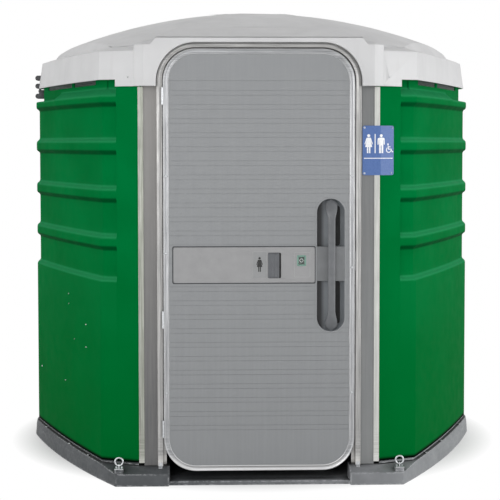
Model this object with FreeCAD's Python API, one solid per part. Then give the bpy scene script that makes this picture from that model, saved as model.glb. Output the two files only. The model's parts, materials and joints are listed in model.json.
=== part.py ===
import FreeCAD, Part
import math
import os

# Portable toilet cabin with a wheelchair-width door.
# Millimetres, +Z up, origin under the middle of the base, +X to the right of the door, front towards -Y.

V = FreeCAD.Vector
X_AXIS = V(1, 0, 0)
Y_AXIS = V(0, 1, 0)
Z_AXIS = V(0, 0, 1)

# Base tray
KERB_OUT = 80.0           # from the front wall face to the edge of the tray
KERB_OUT_SIDE = 16.0      # the same at the widest corner
BASE_FLAT_X = 462.0       # a point on the straight front edge
BASE_CREASE_X = 665.0     # where the straight front edge ends
BASE_BOW_R = 4700.0
BASE_ROUND_R = 250.0
KERB_H = 80.0             # flat top of the kerb
KERB_EDGE_H = 56.0        # top of the steep outer face
KERB_DRAFT = 4.0
RIM_OUT = 14.0            # flat rim outside the wall face
RIM_OUT_SIDE = 8.0        # the same at the widest corner
UPSTAND_H = 44.0          # rises from the rim inside the walls
UPSTAND_T = 8.0
FLOOR_T = 12.0
FOOT_HALF = 418.0         # half the gap between the two front feet
FOOT_BACK = 58.0          # from the wall face to the back of a foot
RAMP_TIP_H = 20.0         # upright front edge between the feet
RAMP_SET_BACK = 18.0
RAMP_RUN = 75.0

# Walls
WALL_HALF = 1165.0
WALL_FRONT = 1101.0       # wall face in front and behind, from the middle
RETURN_X = 541.0          # where the side walls start beside the doorway
FACET_X = 562.0
CREASE_X = 738.0
CREASE_Y = 1030.0
BOW_R = 8600.0
ROUND_R = 200.0
WALL_T = 6.0
WALL_BOTTOM = 92.0
WALL_TOP = 2000.0
FIT_GAP = 0.3             # between pieces that slip together
POCKET_X = 662.0          # pockets start here on the facet
POCKET_DEPTH = 17.0
POCKET_SLOPE_LOW = 14.0
POCKET_SLOPE_HIGH = 11.0
RIB_Z = 1764.0            # lower edge of the top rib
RIB_PITCH = 223.3
RIB_FACE = 46.0
RIB_COUNT = 4
PLAIN_TOP = 938.0         # top of the plain lower wall
RECESS_Z = 1800.0
RECESS_RISE = 33.0
RECESS_DEPTH = 41.0
STEP_HALF = 400.0         # the flat step round the widest corner
NECK_Z = 1895.0
NECK_DEPTH = 12.0
REAR_HALF = 535.0
REAR_POCKET_HALF = 470.0
SLOT_Z = 1855.0
SLOT_H = 35.0
SLOT_SPANS = ((150.0, 570.0), (600.0, 890.0))
SCREEN_T = 1.5
SCREEN_LAP = 8.0

# Edge strips and door posts
STRIP_T = 3.0
STRIP_W = 25.0
STRIP_WEB_X = 536.0
STRIP_LAP = 2.0           # its flange over the post
STRIP_DEPTH = 35.0
STRIP_TOP = 1838.0
POST_IN = 472.0
POST_DEPTH = 50.0
POST_T = 3.0
POST_TOP = 1850.0
HEADER_SET_BACK = 1.0
HEADER_T = 6.0
HEADER_SHOULDER_Z = 2020.0
HEADER_TOP = 2055.0
HEADER_SIDE_GAP = 6.0
HEADER_SHOULDER_IN = 50.0
HEADER_PEAK_IN = 30.0

# Door frame
FRAME_HALF_IN = 447.5
FRAME_W = 24.0
FRAME_T = 3.0
FRAME_FRONT = 15.0        # stands this far in front of the wall face
FRAME_DEPTH = 50.0
FRAME_R_IN = 154.5
STOP_W = 15.0
STOP_T = 6.0
STOP_GAP = 2.0
BRACKET_FOOT = 18.0
BRACKET_TAB = 16.0
BRACKET_T = 2.0
STRIKE_T = 1.2
STRIKE_HALF_H = 45.0
STRIKE_LAP = 8.0          # of the plate in front of and behind the bolt
STRIKE_CLEAR = 3.0        # of its hole round the bolt
KEEPER_HALF_H = 80.0      # of the length of jamb that is made up of flat strips round that hole

# Door leaf
LEAF_HALF = 443.0
LEAF_BOTTOM = 55.0
LEAF_TOP = 2012.0
LEAF_R = 150.0
LEAF_T = 40.0
HEAD_GAP = 5.5
TRIM_W = 26.0
TRIM_T = 2.0
SKIN_T = 5.0
BACK_SKIN_T = 4.0
GROOVE_W = 3.0
GROOVE_D = 1.5
GROOVE_FIRST_Z = 1865.0
GROOVE_Z = 1798.0
GROOVE_PITCH = 64.6
GROOVE_COUNT = 25
GROOVE_PAIR = 22.0

# Latch
PLATE_X0 = -397.0
PLATE_X1 = 257.0
PLATE_Z0 = 933.0
PLATE_Z1 = 1098.0
PLATE_T = 4.0
PLATE_R = 11.0
PLATE_GAP = 3.5
PLATE_SINK = 2.0
TILE_X = 2.5
TILE_Z = 1016.0
TILE_W = 63.0
TILE_H = 120.0
TILE_T = 1.0
THUMB_X = 70.0
THUMB_Z = 1013.0
THUMB_W = 62.0
THUMB_H = 120.0
THUMB_DEPTH = 9.0
WINDOW_X = 195.5
WINDOW_Z = 1035.0
WINDOW_W = 27.0
WINDOW_H = 35.0
WINDOW_T = 1.5
BOLT_H = 20.0
BOLT_T = 12.0
BOLT_TRAVEL = 26.0
BOLT_TIP = 441.0
BOLT_TAIL = 60.0
BOLT_Y_IN = 10.0          # from the front of the door skin to the bolt
KNOB_X = 130.0
KNOB_R = 14.0
KNOB_OUT = 34.0
HOUSING_T = 2.5
HOUSING_D = 16.0
HOUSING_W = 300.0
HOUSING_H = 90.0

# Pull handle and its pocket
PULL_X = 331.0
PULL_Z0 = 705.0
PULL_Z1 = 1322.0
PULL_W = 128.0
PULL_POCKET_D = 24.0
POCKET_WALL = 3.0
BAR_X = 334.6
BAR_W = 34.0
BAR_T = 16.0
BAR_OUT = 28.0            # in front of the door trim
BAR_END_GAP = 7.0
BAR_SLANT = 36.0
BAR_FOOT_T = 24.0         # height of its foot in the pocket
BAR_FOOT_UP = 10.0        # the foot stands this far out of the pocket's floor
BAR_HEEL = 4.0
BAR_CROOK = 14.0
COVER_H = 160.0
COVER_Z = 1020.0
COVER_T = 3.0
INNER_PULL_X = 330.0
INNER_PULL_Z = 850.0
INNER_PULL_LEN = 220.0
INNER_PULL_D = 20.0
INNER_PULL_OUT = 45.0
HOOK_Z = 1200.0
HOOK_PLATE_W = 30.0
HOOK_PLATE_H = 70.0
HOOK_PLATE_T = 3.0
HOOK_OUT = 45.0
HOOK_DROP = 5.0
HOOK_RISE = 30.0
HOOK_BEND = 12.0
HOOK_ROD_R = 5.0

# Hinges
HINGE_ZS = (254.0, 763.0, 1794.0)
HINGE_H = 76.0
HINGE_R = 5.0
HINGE_PIN_R = 3.0
PIN_CLEAR = 0.05
HINGE_FRAME_T = 1.9
HINGE_DOOR_T = 2.0
HINGE_OUT = 5.5
HINGE_PLATE_D = 26.0
KNUCKLES = 5
KNUCKLE_GAP = 0.4

# Roof
ROOF_T = 5.0
ROOF_GAP = 3.0            # from the wall face to the inside of the skirt
ROOF_IN_LOW = 11.0        # the skirt's lower edge inside the widest line of the walls
ROOF_IN_HIGH = 34.0       # the edge of the deck inside the same line
ROOF_HIGH_OUT = 2.0
SKIRT_Z_FRONT = 1840.0
SKIRT_Z_SIDE = 1872.0
SKIRT_STEP_X = 665.0
DECK_Z = 2005.0
DECK_W = 75.0
DECK_RISE = 20.0
DOME_TOP = 2262.0
DOME_R_X = 2586.0
DOME_R_Y = 3450.0
DOME_SIDE_IN = 28.0
DOME_SIDE_UP = 41.0
DOME_ROUND_R = 420.0
DOME_LAP = 15.0           # its sides start this far below the deck
DOME_OVER = 60.0          # and run up this far past its top before they are trimmed
DOME_TURN = 25.0          # half the angle that its surface is turned through, degrees
HOOD_FRONT_Z = 2067.0
HOOD_FRONT = 1130.0
HOOD_BACK = 450.0
HOOD_SLOPE_0 = 0.36
HOOD_SLOPE_1 = 0.13
HOOD_HALF_FRONT = 468.0
HOOD_NARROW = 0.46        # how fast its edges close towards the back
HOOD_SIDE_OUT = 29.0
HOOD_SIDE_DOWN = 36.0
HOOD_FOOT = 25.0          # its block ends this far below the ledge of the portal
HOOD_OVER = 200.0         # the block is wider by this before its sides are cut
PORTAL_FRONT = 1140.0
PORTAL_HALF = 530.0
PORTAL_WIDE = 575.0
PORTAL_BACK = 1114.0
PORTAL_LEDGE_Z = 2031.0
PORTAL_BRIM = 6.0
ARCH_HALF = 474.0
ARCH_TOP = 2040.0
ARCH_R = 181.0

# Fasteners
RIVET_R = 2.4
RIVET_HEAD_R = 5.0
RIVET_HEAD_H = 2.0
ROOF_RIVET_S = 45.0       # along the facet
ROOF_RIVET_Z = 1882.0
TRIM_RIVETS_LEFT = (420.0, 1070.0, 1426.0)
TRIM_RIVETS_RIGHT = (420.0, 1003.0, 1426.0)
BOLT_AF = 10.0
BOLT_HEAD_H = 5.0
BASE_BOLT_YS = (250.0, 640.0, 890.0)
BASE_BOLT_OUT = 7.0

# Tie-down
TIE_X = 650.0
TIE_IN = 36.0             # from the front edge of the tray to the ring
TIE_W = 40.0
TIE_L = 40.0
TIE_BOLT_IN = 8.0
TIE_BOLT_BACK = 10.0
TIE_EYE_WALL = 4.5
TIE_T = 4.0
TIE_PAD_Z = 76.0
TIE_LUG_T = 5.0
TIE_HOLE_R = 4.8
TIE_HOLE_UP = 11.0
RING_R = 18.0
RING_WIRE_R = 4.0

# Sign
SIGN_W = 152.0
SIGN_H = 229.0
SIGN_T = 2.0
SIGN_X = 554.0
SIGN_Z = 1544.0
SIGN_EDGE = 9.0           # of its rivets from its edges
SIGN_R = 9.0
SIGN_GAP = 0.2

# Lift bracket, left side only
LIFT_Y = 60.0
LIFT_W = 44.0
LIFT_T = 8.0
LIFT_ZS = (1834.5, 1889.0, 1932.5)
LIFT_LOBE_R = 13.8
LIFT_REACH = 13.0         # its tips outside the widest line of the walls
LIFT_LUG_IN = 8.0         # from the side of its plate to a lug
LIFT_STEP = 4.0           # it steps out this far below the edge of the skirt
LIFT_BOLT_R = 6.0
LIFT_BOLT_H = 4.0

# Seat and tank
SEAT_X = -390.0
TANK_FRONT = 480.0
TANK_BACK = 1060.0
TANK_INNER_X = -100.0
TANK_TOP = 445.0
TANK_T = 6.0
SEAT_W = 360.0
SEAT_L = 430.0
SEAT_T = 20.0
SEAT_RIM = 70.0
BUMPER_H = 4.0
LID_T = 8.0
LID_OVER = 6.0
LID_OPEN = 93.0
SEAT_PIN_Y = 955.0
SEAT_PIN_UP = 30.0
SEAT_PIN_R = 6.0
SEAT_EYE_R = 12.0
SEAT_SETBACK = 22.0
SEAT_ARM_X = 40.0
LID_ARM_X = 68.0
HINGE_POST_X = 96.0
ARM_W = 22.0
ARM_LAP = 55.0            # of an arm under the seat or lid
SEAT_PAD_YS = (-90.0, 60.0)
SEAT_PAD_R = 8.0
SEAT_PAD_IN = 6.0
TANK_CLEAR = 16.0         # from the upstand of the tray to the tank
MOUTH_LAP = 5.0           # of the seat's ring over the mouth of the tank

# Vent pipe
PIPE_X = -625.0
PIPE_Y = 905.0
PIPE_R = 50.0
PIPE_T = 4.0
PIPE_TOP = 2128.0
CAP_R = 75.0
CAP_H = 22.0
CAP_LEG = 30.0
CAP_LEG_T = 4.0

# Grab bars
GRAB_R = 16.0
GRAB_Z = 803.5
GRAB_X = -872.0
GRAB_Y0 = -620.0
GRAB_Y1 = 447.0
GRAB_BEND = 40.0
FLANGE_R = 38.0
FLANGE_T = 4.0
REAR_BAR_Z = 888.0
REAR_BAR_Y = 1041.0
REAR_BAR_X0 = -480.0
REAR_BAR_X1 = 90.0

# Paper holder
PAPER_Y = -850.0
PAPER_Z = 652.0
PAPER_W = 250.0
PAPER_H = 150.0
PAPER_T = 2.0
PAPER_SET = 1.0
PAPER_ARM = 110.0
SPINDLE_OUT = 78.0
SPINDLE_R = 8.0
ROLL_R = 60.0
ROLL_W = 100.0
ROLL_GAP = 12.0
WALL_RIVETS = ((-620.0, 779.0), (-620.0, 828.0), (-850.0, 595.0), (-850.0, 709.0),
               (-700.0, 612.0), (-130.0, 387.0), (-560.0, 384.0))


def box(x0, x1, y0, y1, z0, z1):
    """A box given by its two corners, in any order."""
    low = V(min(x0, x1), min(y0, y1), min(z0, z1))
    return Part.makeBox(abs(x1 - x0), abs(y1 - y0), abs(z1 - z0), low)


def cyl(centre, axis, radius, length):
    """A cylinder that starts at centre and runs along axis."""
    return Part.makeCylinder(radius, length, centre, axis)


def both_sides(shape):
    """The shape and its copy on the other side of the door."""
    return [shape, flip_x(shape)]


def flip_x(shape):
    return shape.mirror(V(0, 0, 0), X_AXIS)


def flip_y(shape):
    return shape.mirror(V(0, 0, 0), Y_AXIS)


def group(shapes):
    """Separate solids that share one node."""
    solids = []
    for shape in shapes:
        solids += shape.Solids
    return Part.makeCompound(solids)


def fuse(shapes):
    body = shapes[0].fuse(list(shapes[1:])) if len(shapes) > 1 else shapes[0]
    return body.removeSplitter()


def polygon(points):
    wire = Part.makePolygon([V(*p) for p in points] + [V(*points[0])])
    return Part.Face(wire)


def prism_z(points, z0, z1):
    """A plan outline carried from z0 up to z1."""
    face = polygon([(x, y, z0) for x, y in points])
    return face.extrude(V(0, 0, z1 - z0))


def prism_x(points, x0, x1):
    """A side outline, points as (y, z), carried from x0 to x1."""
    face = polygon([(x0, y, z) for y, z in points])
    return face.extrude(V(x1 - x0, 0, 0))


def rounded_slab(x0, x1, z0, z1, radius, y0, y1):
    """A rounded rectangle seen from the front, carried from y0 back to y1."""
    radius = min(radius, (x1 - x0) / 2 - 0.01, (z1 - z0) / 2 - 0.01)
    slab = box(x0, x1, y0, y1, z0, z1)
    edges = [e for e in slab.Edges if abs(abs(e.tangentAt(e.FirstParameter).y) - 1) < 1e-6]
    return slab.makeFillet(radius, edges)


def arch_slab(half, z0, z1, radius, y0, y1):
    """An arch outline with two round top corners, carried from y0 back to y1."""
    slab = box(-half, half, y0, y1, z0, z1)
    edges = []
    for edge in slab.Edges:
        along_y = abs(abs(edge.tangentAt(edge.FirstParameter).y) - 1) < 1e-6
        if along_y and edge.CenterOfMass.z > (z0 + z1) / 2:
            edges.append(edge)
    return slab.makeFillet(radius, edges)


def loft(wires):
    return Part.makeLoft(wires, True, True)


class Outline:
    """Plan outline of the right half of the cabin, the same in front and behind: a flat beside the
    doorway, a facet, a bowed side and a rounded widest corner. Offsets count inwards."""

    def __init__(self, facet_x, front, crease_x, crease_y, half, bow_r, round_r):
        self.front = front
        self.half = half
        self.bow_r = bow_r
        self.round_r = round_r
        self.facet_start = V(facet_x, -front, 0)
        self.crease = V(crease_x, -crease_y, 0)
        run = self.crease - self.facet_start
        self.facet_dir = run / run.Length
        self.facet_in = V(-self.facet_dir.y, self.facet_dir.x, 0)
        self.round_c = V(half - round_r, 0, 0)
        chord = self.round_c - self.crease
        gap = chord.Length
        near = bow_r - round_r
        along = (bow_r ** 2 - near ** 2 + gap ** 2) / (2 * gap)
        across = math.sqrt(bow_r ** 2 - along ** 2)
        unit = chord / gap
        self.bow_c = self.crease + unit * along + V(-unit.y, unit.x, 0) * across

    def facet_point(self, s, d=0.0):
        """A point s along the facet from its start, d inwards."""
        return self.facet_start + self.facet_dir * s + self.facet_in * d

    def corners(self, d):
        """Corner points of the front half at offset d, from the facet to the widest corner."""
        y = -self.front + d
        s = (y - self.facet_in.y * d - self.facet_start.y) / self.facet_dir.y if self.facet_dir.y else 0.0
        start = self.facet_point(s, d)
        radius = self.bow_r - d
        foot = self.facet_point(0, d) - self.bow_c
        b = foot.dot(self.facet_dir)
        c = foot.dot(foot) - radius ** 2
        root = math.sqrt(b * b - c)
        target = (self.crease - self.facet_start).Length
        s = min((-b - root, -b + root), key=lambda value: abs(value - target))
        crease = self.facet_point(s, d)
        unit = self.round_c - self.bow_c
        tangent = self.bow_c + unit / unit.Length * radius
        middle = crease + (tangent - crease) / 2 - self.bow_c
        bow_mid = self.bow_c + middle / middle.Length * radius
        return start, crease, bow_mid, tangent

    def run(self, d, z, first):
        """Edges from the front to the rear at offset d. first is the x where the flat starts, or a
        distance along the facet given as ("facet", s)."""
        start, crease, bow_mid, tangent = self.corners(d)
        if isinstance(first, tuple):
            head = [self.facet_point(first[1], d)]
        else:
            head = [V(first, -self.front + d, 0), start]
        points = head + [crease]
        up = V(0, 0, z)
        back = [V(p.x, -p.y, 0) for p in points]
        edges = []
        for a, b in zip(points, points[1:]):
            edges.append(Part.LineSegment(a + up, b + up).toShape())
        tip = V(self.half - d, 0, 0)
        tangent_back = V(tangent.x, -tangent.y, 0)
        mid_back = V(bow_mid.x, -bow_mid.y, 0)
        edges.append(Part.Arc(crease + up, bow_mid + up, tangent + up).toShape())
        edges.append(Part.Arc(tangent + up, tip + up, tangent_back + up).toShape())
        edges.append(Part.Arc(tangent_back + up, mid_back + up, back[-1] + up).toShape())
        for a, b in zip(reversed(back), list(reversed(back))[1:]):
            edges.append(Part.LineSegment(a + up, b + up).toShape())
        return edges, points[0] + up, back[0] + up

    def ring(self, d_out, d_in, z, first):
        """Closed wire between two offsets."""
        outer, a0, a1 = self.run(d_out, z, first)
        inner, b0, b1 = self.run(d_in, z, first)
        ends = [Part.LineSegment(a1, b1).toShape(), Part.LineSegment(b0, a0).toShape()]
        return Part.Wire(outer + [ends[0]] + list(reversed(inner)) + [ends[1]])

    def region(self, d, z, inner_x):
        """Closed wire of everything on this side, back to inner_x."""
        edges, a0, a1 = self.run(d, z, inner_x)
        return Part.Wire(edges + [Part.LineSegment(a1, a0).toShape()])

    def whole(self, d, z):
        """Closed wire of both halves."""
        right, a0, a1 = self.run(d, z, 0.0)
        left = []
        for edge in reversed(right):
            left.append(flip_x(edge))
        return Part.Wire(Part.__sortEdges__(right + left))

    def bow_point(self, y, d=0.0):
        """The point of the bowed side at this y."""
        centre_y = self.bow_c.y if y < 0 else -self.bow_c.y
        x = self.bow_c.x + math.sqrt((self.bow_r - d) ** 2 - (y - centre_y) ** 2)
        normal = V(x - self.bow_c.x, y - centre_y, 0)
        return V(x, y, 0), normal / normal.Length


def solid_between(outline, d, z0, z1, inner_x):
    return Part.Face(outline.region(d, z0, inner_x)).extrude(V(0, 0, z1 - z0))


def ring_between(outline, d_out, d_in, z0, z1, first):
    return Part.Face(outline.ring(d_out, d_in, z0, first)).extrude(V(0, 0, z1 - z0))


BASE_FRONT = WALL_FRONT + KERB_OUT           # half the depth of the tray
BASE_HALF = WALL_HALF + KERB_OUT_SIDE        # half its width
TIE_Y = BASE_FRONT - TIE_IN
ROOF_HALF_LOW = WALL_HALF - ROOF_IN_LOW
ROOF_HALF_HIGH = WALL_HALF - ROOF_IN_HIGH
WALLS = Outline(FACET_X, WALL_FRONT, CREASE_X, CREASE_Y, WALL_HALF, BOW_R, ROUND_R)
FRAME_Y = -(WALL_FRONT + FRAME_FRONT)        # front of the door frame and of the door
SKIN_Y = FRAME_Y + TRIM_T                    # front of the door skin
LEAF_BACK_Y = FRAME_Y + LEAF_T
BOLT_Y = SKIN_Y + BOLT_Y_IN
OUTSIDE = 20.0                               # how far cutting shapes stand outside a face


def pocket_levels():
    """Lower and upper edge of each pocket on the wall face."""
    levels = []
    for index in range(RIB_COUNT):
        top = RIB_Z - index * RIB_PITCH
        bottom = top - RIB_PITCH + RIB_FACE if index < RIB_COUNT - 1 else PLAIN_TOP
        levels.append((bottom, top))
    return levels


def side_relief(extra):
    """Everything pressed into the side wall, grown by the wall thickness for its inner face."""
    wall_run = (WALLS.crease - WALLS.facet_start).Length
    share = (POCKET_X - FACET_X) / (CREASE_X - FACET_X)
    first = ("facet", wall_run * share - extra)
    deep = POCKET_DEPTH + extra
    cuts = []
    for bottom, top in pocket_levels():
        z_face = (bottom - extra, top + extra)
        z_deep = (bottom + POCKET_SLOPE_LOW - extra, top - POCKET_SLOPE_HIGH + extra)
        cuts.append(loft([WALLS.ring(-OUTSIDE, extra, z_face[0], first),
                          WALLS.ring(-OUTSIDE, deep, z_deep[0], first),
                          WALLS.ring(-OUTSIDE, deep, z_deep[1], first),
                          WALLS.ring(-OUTSIDE, extra, z_face[1], first)]))
    deep = RECESS_DEPTH + extra
    ledge = RECESS_Z - extra
    above = WALL_TOP + OUTSIDE
    cuts.append(loft([WALLS.ring(-OUTSIDE, extra, ledge, first),
                      WALLS.ring(-OUTSIDE, deep, ledge + RECESS_RISE, first),
                      WALLS.ring(-OUTSIDE, deep, above, first)]))
    step = ring_between(WALLS, -OUTSIDE, deep, ledge, ledge + RECESS_RISE + 1, first)
    reach = STEP_HALF + extra
    cuts.append(step.common(box(0, BASE_HALF * 2, -reach, reach, 0, above)))
    neck_x = RETURN_X - 1
    cuts.append(ring_between(WALLS, -OUTSIDE, NECK_DEPTH + extra, NECK_Z - extra, above, neck_x))
    return cuts


def side_wall():
    shell = solid_between(WALLS, 0, WALL_BOTTOM, WALL_TOP, RETURN_X)
    shell = shell.cut(side_relief(0.0))
    room = solid_between(WALLS, WALL_T, WALL_BOTTOM - 1, WALL_TOP + 1, RETURN_X - 1)
    room = room.cut(side_relief(WALL_T))
    wall = shell.cut(room)
    slots = []
    for y0, y1 in SLOT_SPANS:
        for sign in (-1, 1):
            slots.append(box(POCKET_X, BASE_HALF, sign * y0, sign * y1, SLOT_Z, SLOT_Z + SLOT_H))
    return wall.cut(slots)


def rear_wall():
    """Flat panel between the rear strips, with the same ribs."""
    def relief(extra):
        cuts = []
        half = REAR_POCKET_HALF + extra
        face = WALL_FRONT - extra
        for bottom, top in pocket_levels():
            deep = face - POCKET_DEPTH
            low = bottom - extra
            high = top + extra
            cuts.append(prism_x([(WALL_FRONT + OUTSIDE, low), (face, low),
                                 (deep, low + POCKET_SLOPE_LOW), (deep, high - POCKET_SLOPE_HIGH),
                                 (face, high), (WALL_FRONT + OUTSIDE, high)], -half, half))
        ledge = RECESS_Z - extra
        above = WALL_TOP + OUTSIDE
        deep = face - RECESS_DEPTH
        cuts.append(prism_x([(WALL_FRONT + OUTSIDE, ledge), (face, ledge), (deep, ledge + RECESS_RISE),
                             (deep, above), (WALL_FRONT + OUTSIDE, above)], -half, half))
        cuts.append(box(-REAR_HALF - 1, REAR_HALF + 1, face - NECK_DEPTH, WALL_FRONT + OUTSIDE,
                        NECK_Z - extra, above))
        return cuts

    inside = WALL_FRONT - 100.0
    shell = box(-REAR_HALF, REAR_HALF, inside, WALL_FRONT, WALL_BOTTOM, WALL_TOP).cut(relief(0.0))
    room = box(-REAR_HALF - 1, REAR_HALF + 1, inside - 1, WALL_FRONT - WALL_T, WALL_BOTTOM - 1,
               WALL_TOP + 1)
    return shell.cut(room.cut(relief(WALL_T)))


def vent_screens():
    """Mesh strips behind the slots under the roof skirt."""
    first = ("facet", (WALLS.crease - WALLS.facet_start).Length * 0.9)
    inner = RECESS_DEPTH + WALL_T
    ring = ring_between(WALLS, inner, inner + SCREEN_T, SLOT_Z - SCREEN_LAP,
                        SLOT_Z + SLOT_H + SCREEN_LAP, first)
    screens = []
    for y0, y1 in SLOT_SPANS:
        lap = SCREEN_LAP if y0 > 0 else 0
        piece = ring.common(box(0, BASE_HALF, -(y1 + lap), -(y0 - lap), 0, DOME_TOP))
        screens += both_sides(piece)
        screens += both_sides(flip_y(piece))
    return group(screens)


def base_tray():
    """Kerb all round, a floor and a low ramp between the two front feet."""
    foot = Outline(BASE_FLAT_X, BASE_FRONT, BASE_CREASE_X, BASE_FRONT - 0.01, BASE_HALF, BASE_BOW_R,
                   BASE_ROUND_R)
    rim_start, rim_crease = WALLS.corners(-RIM_OUT)[:2]
    rim = Outline(rim_start.x, WALL_FRONT + RIM_OUT, rim_crease.x, -rim_crease.y,
                  WALL_HALF + RIM_OUT_SIDE, BOW_R, ROUND_R)
    low = loft([foot.whole(0, 0), foot.whole(KERB_DRAFT, KERB_EDGE_H)])
    high = loft([foot.whole(KERB_DRAFT, KERB_EDGE_H), rim.whole(0, KERB_H)])
    upstand_d = WALL_T + FIT_GAP
    upstand = Part.Face(WALLS.whole(upstand_d, KERB_H)).extrude(V(0, 0, UPSTAND_H))
    room_d = upstand_d + UPSTAND_T
    room = Part.Face(WALLS.whole(room_d, FLOOR_T)).extrude(V(0, 0, KERB_H + UPSTAND_H))
    foot_back = -WALL_FRONT + FOOT_BACK
    top = KERB_H + UPSTAND_H
    keep = box(-FACET_X, FACET_X, -BASE_FRONT, foot_back, 0, KERB_H)
    above_feet = box(-FACET_X, FACET_X, -BASE_FRONT, foot_back + UPSTAND_T, KERB_H, top)
    ramp_y = -BASE_FRONT + RAMP_SET_BACK
    doorway = prism_x([(-BASE_FRONT - 1, -1), (ramp_y, -1), (ramp_y, RAMP_TIP_H),
                       (ramp_y + RAMP_RUN, FLOOR_T), (foot_back + 1, FLOOR_T), (foot_back + 1, top),
                       (-BASE_FRONT - 1, top)], -FOOT_HALF, FOOT_HALF)
    pads = both_sides(box(TIE_X - TIE_W / 2, TIE_X + TIE_W / 2, -TIE_Y - TIE_L / 2, -TIE_Y + TIE_L / 2,
                          0, TIE_PAD_Z))
    tray = fuse([low, high, upstand]).cut(room.cut(keep)).cut([above_feet, doorway])
    return fuse([tray] + pads)


def hex_head(point, height):
    """A bolt head standing on a level surface."""
    radius = BOLT_AF / math.sqrt(3)
    corners = []
    for index in range(6):
        angle = math.radians(60 * index)
        corners.append((point.x + radius * math.cos(angle), point.y + radius * math.sin(angle)))
    return prism_z(corners, point.z, point.z + height)


def base_bolts():
    heads = []
    for y in BASE_BOLT_YS:
        for sign in (-1, 1):
            point, _ = WALLS.bow_point(sign * y, -BASE_BOLT_OUT)
            point.z = KERB_H
            heads += both_sides(hex_head(point, BOLT_HEAD_H))
    return group(heads)


def rivet(point, outward, grip):
    """A blind rivet: a low domed head on the surface and a shank of length grip behind it."""
    shank = cyl(point - outward * grip, outward, RIVET_R, grip)
    radius = (RIVET_HEAD_R ** 2 + RIVET_HEAD_H ** 2) / (2 * RIVET_HEAD_H)
    centre = point + outward * (RIVET_HEAD_H - radius)
    cap = Part.makeSphere(radius, centre).common(cyl(point, outward, RIVET_HEAD_R * 2, RIVET_HEAD_H * 2))
    return shank.fuse(cap).removeSplitter()


def rivet_hole(point, outward, grip):
    return cyl(point - outward * (grip + 2), outward, RIVET_R, grip + RIVET_HEAD_H + 4)


def roof_rivet_places():
    """Points and directions on the facets of the roof skirt, in front and behind."""
    low, high = roof_outlines()
    share = (ROOF_RIVET_Z - SKIRT_Z_FRONT) / (DECK_Z - SKIRT_Z_FRONT)
    a = low.facet_point(ROOF_RIVET_S)
    b = high.facet_point(ROOF_RIVET_S)
    point = a + (b - a) * share
    point.z = ROOF_RIVET_Z
    rise = b + V(0, 0, DECK_Z) - a - V(0, 0, SKIRT_Z_FRONT)
    out = low.facet_dir.cross(rise).normalize()
    if out.dot(low.facet_in) > 0:
        out = out * -1
    places = []
    for sx in (-1, 1):
        for sy in (-1, 1):
            places.append((V(point.x * sx, point.y * sy, point.z), V(out.x * sx, out.y * sy, out.z)))
    return places


ROOF_RIVET_GRIP = ROOF_T + ROOF_GAP + WALL_T + 3.0


def front_strip():
    """Angle along the edge between a side wall and a door post."""
    y = -WALL_FRONT
    x0 = STRIP_WEB_X - STRIP_LAP
    flange = box(x0, x0 + STRIP_W, y - STRIP_T, y, WALL_BOTTOM, STRIP_TOP)
    web = box(STRIP_WEB_X, STRIP_WEB_X + STRIP_T, y - STRIP_T, y + STRIP_DEPTH, WALL_BOTTOM, STRIP_TOP)
    return fuse([flange, web])


def rear_strip():
    """The same angle behind, cut away over the upstand of the tray."""
    face = WALL_FRONT - WALL_T
    notch = box(STRIP_WEB_X - 1, STRIP_WEB_X + STRIP_T + 1, face - STRIP_DEPTH, face, WALL_BOTTOM - 1,
                KERB_H + UPSTAND_H + FIT_GAP)
    return flip_y(front_strip()).cut(notch)


def jamb_post():
    y = -WALL_FRONT
    x1 = STRIP_WEB_X - 1
    outer = box(POST_IN, x1, y, y + POST_DEPTH, KERB_H, POST_TOP)
    inner = box(POST_IN + POST_T, x1 - POST_T, y + POST_T, y + POST_DEPTH - POST_T, KERB_H - 1, POST_TOP + 1)
    return outer.cut(inner)


def header_panel():
    y0 = -WALL_FRONT + HEADER_SET_BACK
    half = STRIP_WEB_X - HEADER_SIDE_GAP
    shoulder = half - HEADER_SHOULDER_IN
    peak = shoulder - HEADER_PEAK_IN
    points = [(-half, POST_TOP), (-half, HEADER_SHOULDER_Z), (-shoulder, HEADER_SHOULDER_Z),
              (-peak, HEADER_TOP), (peak, HEADER_TOP), (shoulder, HEADER_SHOULDER_Z),
              (half, HEADER_SHOULDER_Z), (half, POST_TOP)]
    face = polygon([(x, y0, z) for x, z in points])
    panel = face.extrude(V(0, HEADER_T, 0))
    opening = frame_arch(-FIT_GAP, y0 - 1, y0 + HEADER_T + 1)
    return panel.cut(opening)


def frame_top():
    return LEAF_TOP + HEAD_GAP + FRAME_W


def frame_arch(inset, y0, y1, below=0.0):
    """Arch outline of the door frame, inset from its outer edge."""
    half = FRAME_HALF_IN + FRAME_W - inset
    return arch_slab(half, KERB_H - below, frame_top() - inset, FRAME_R_IN + FRAME_W - inset, y0, y1)


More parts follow.
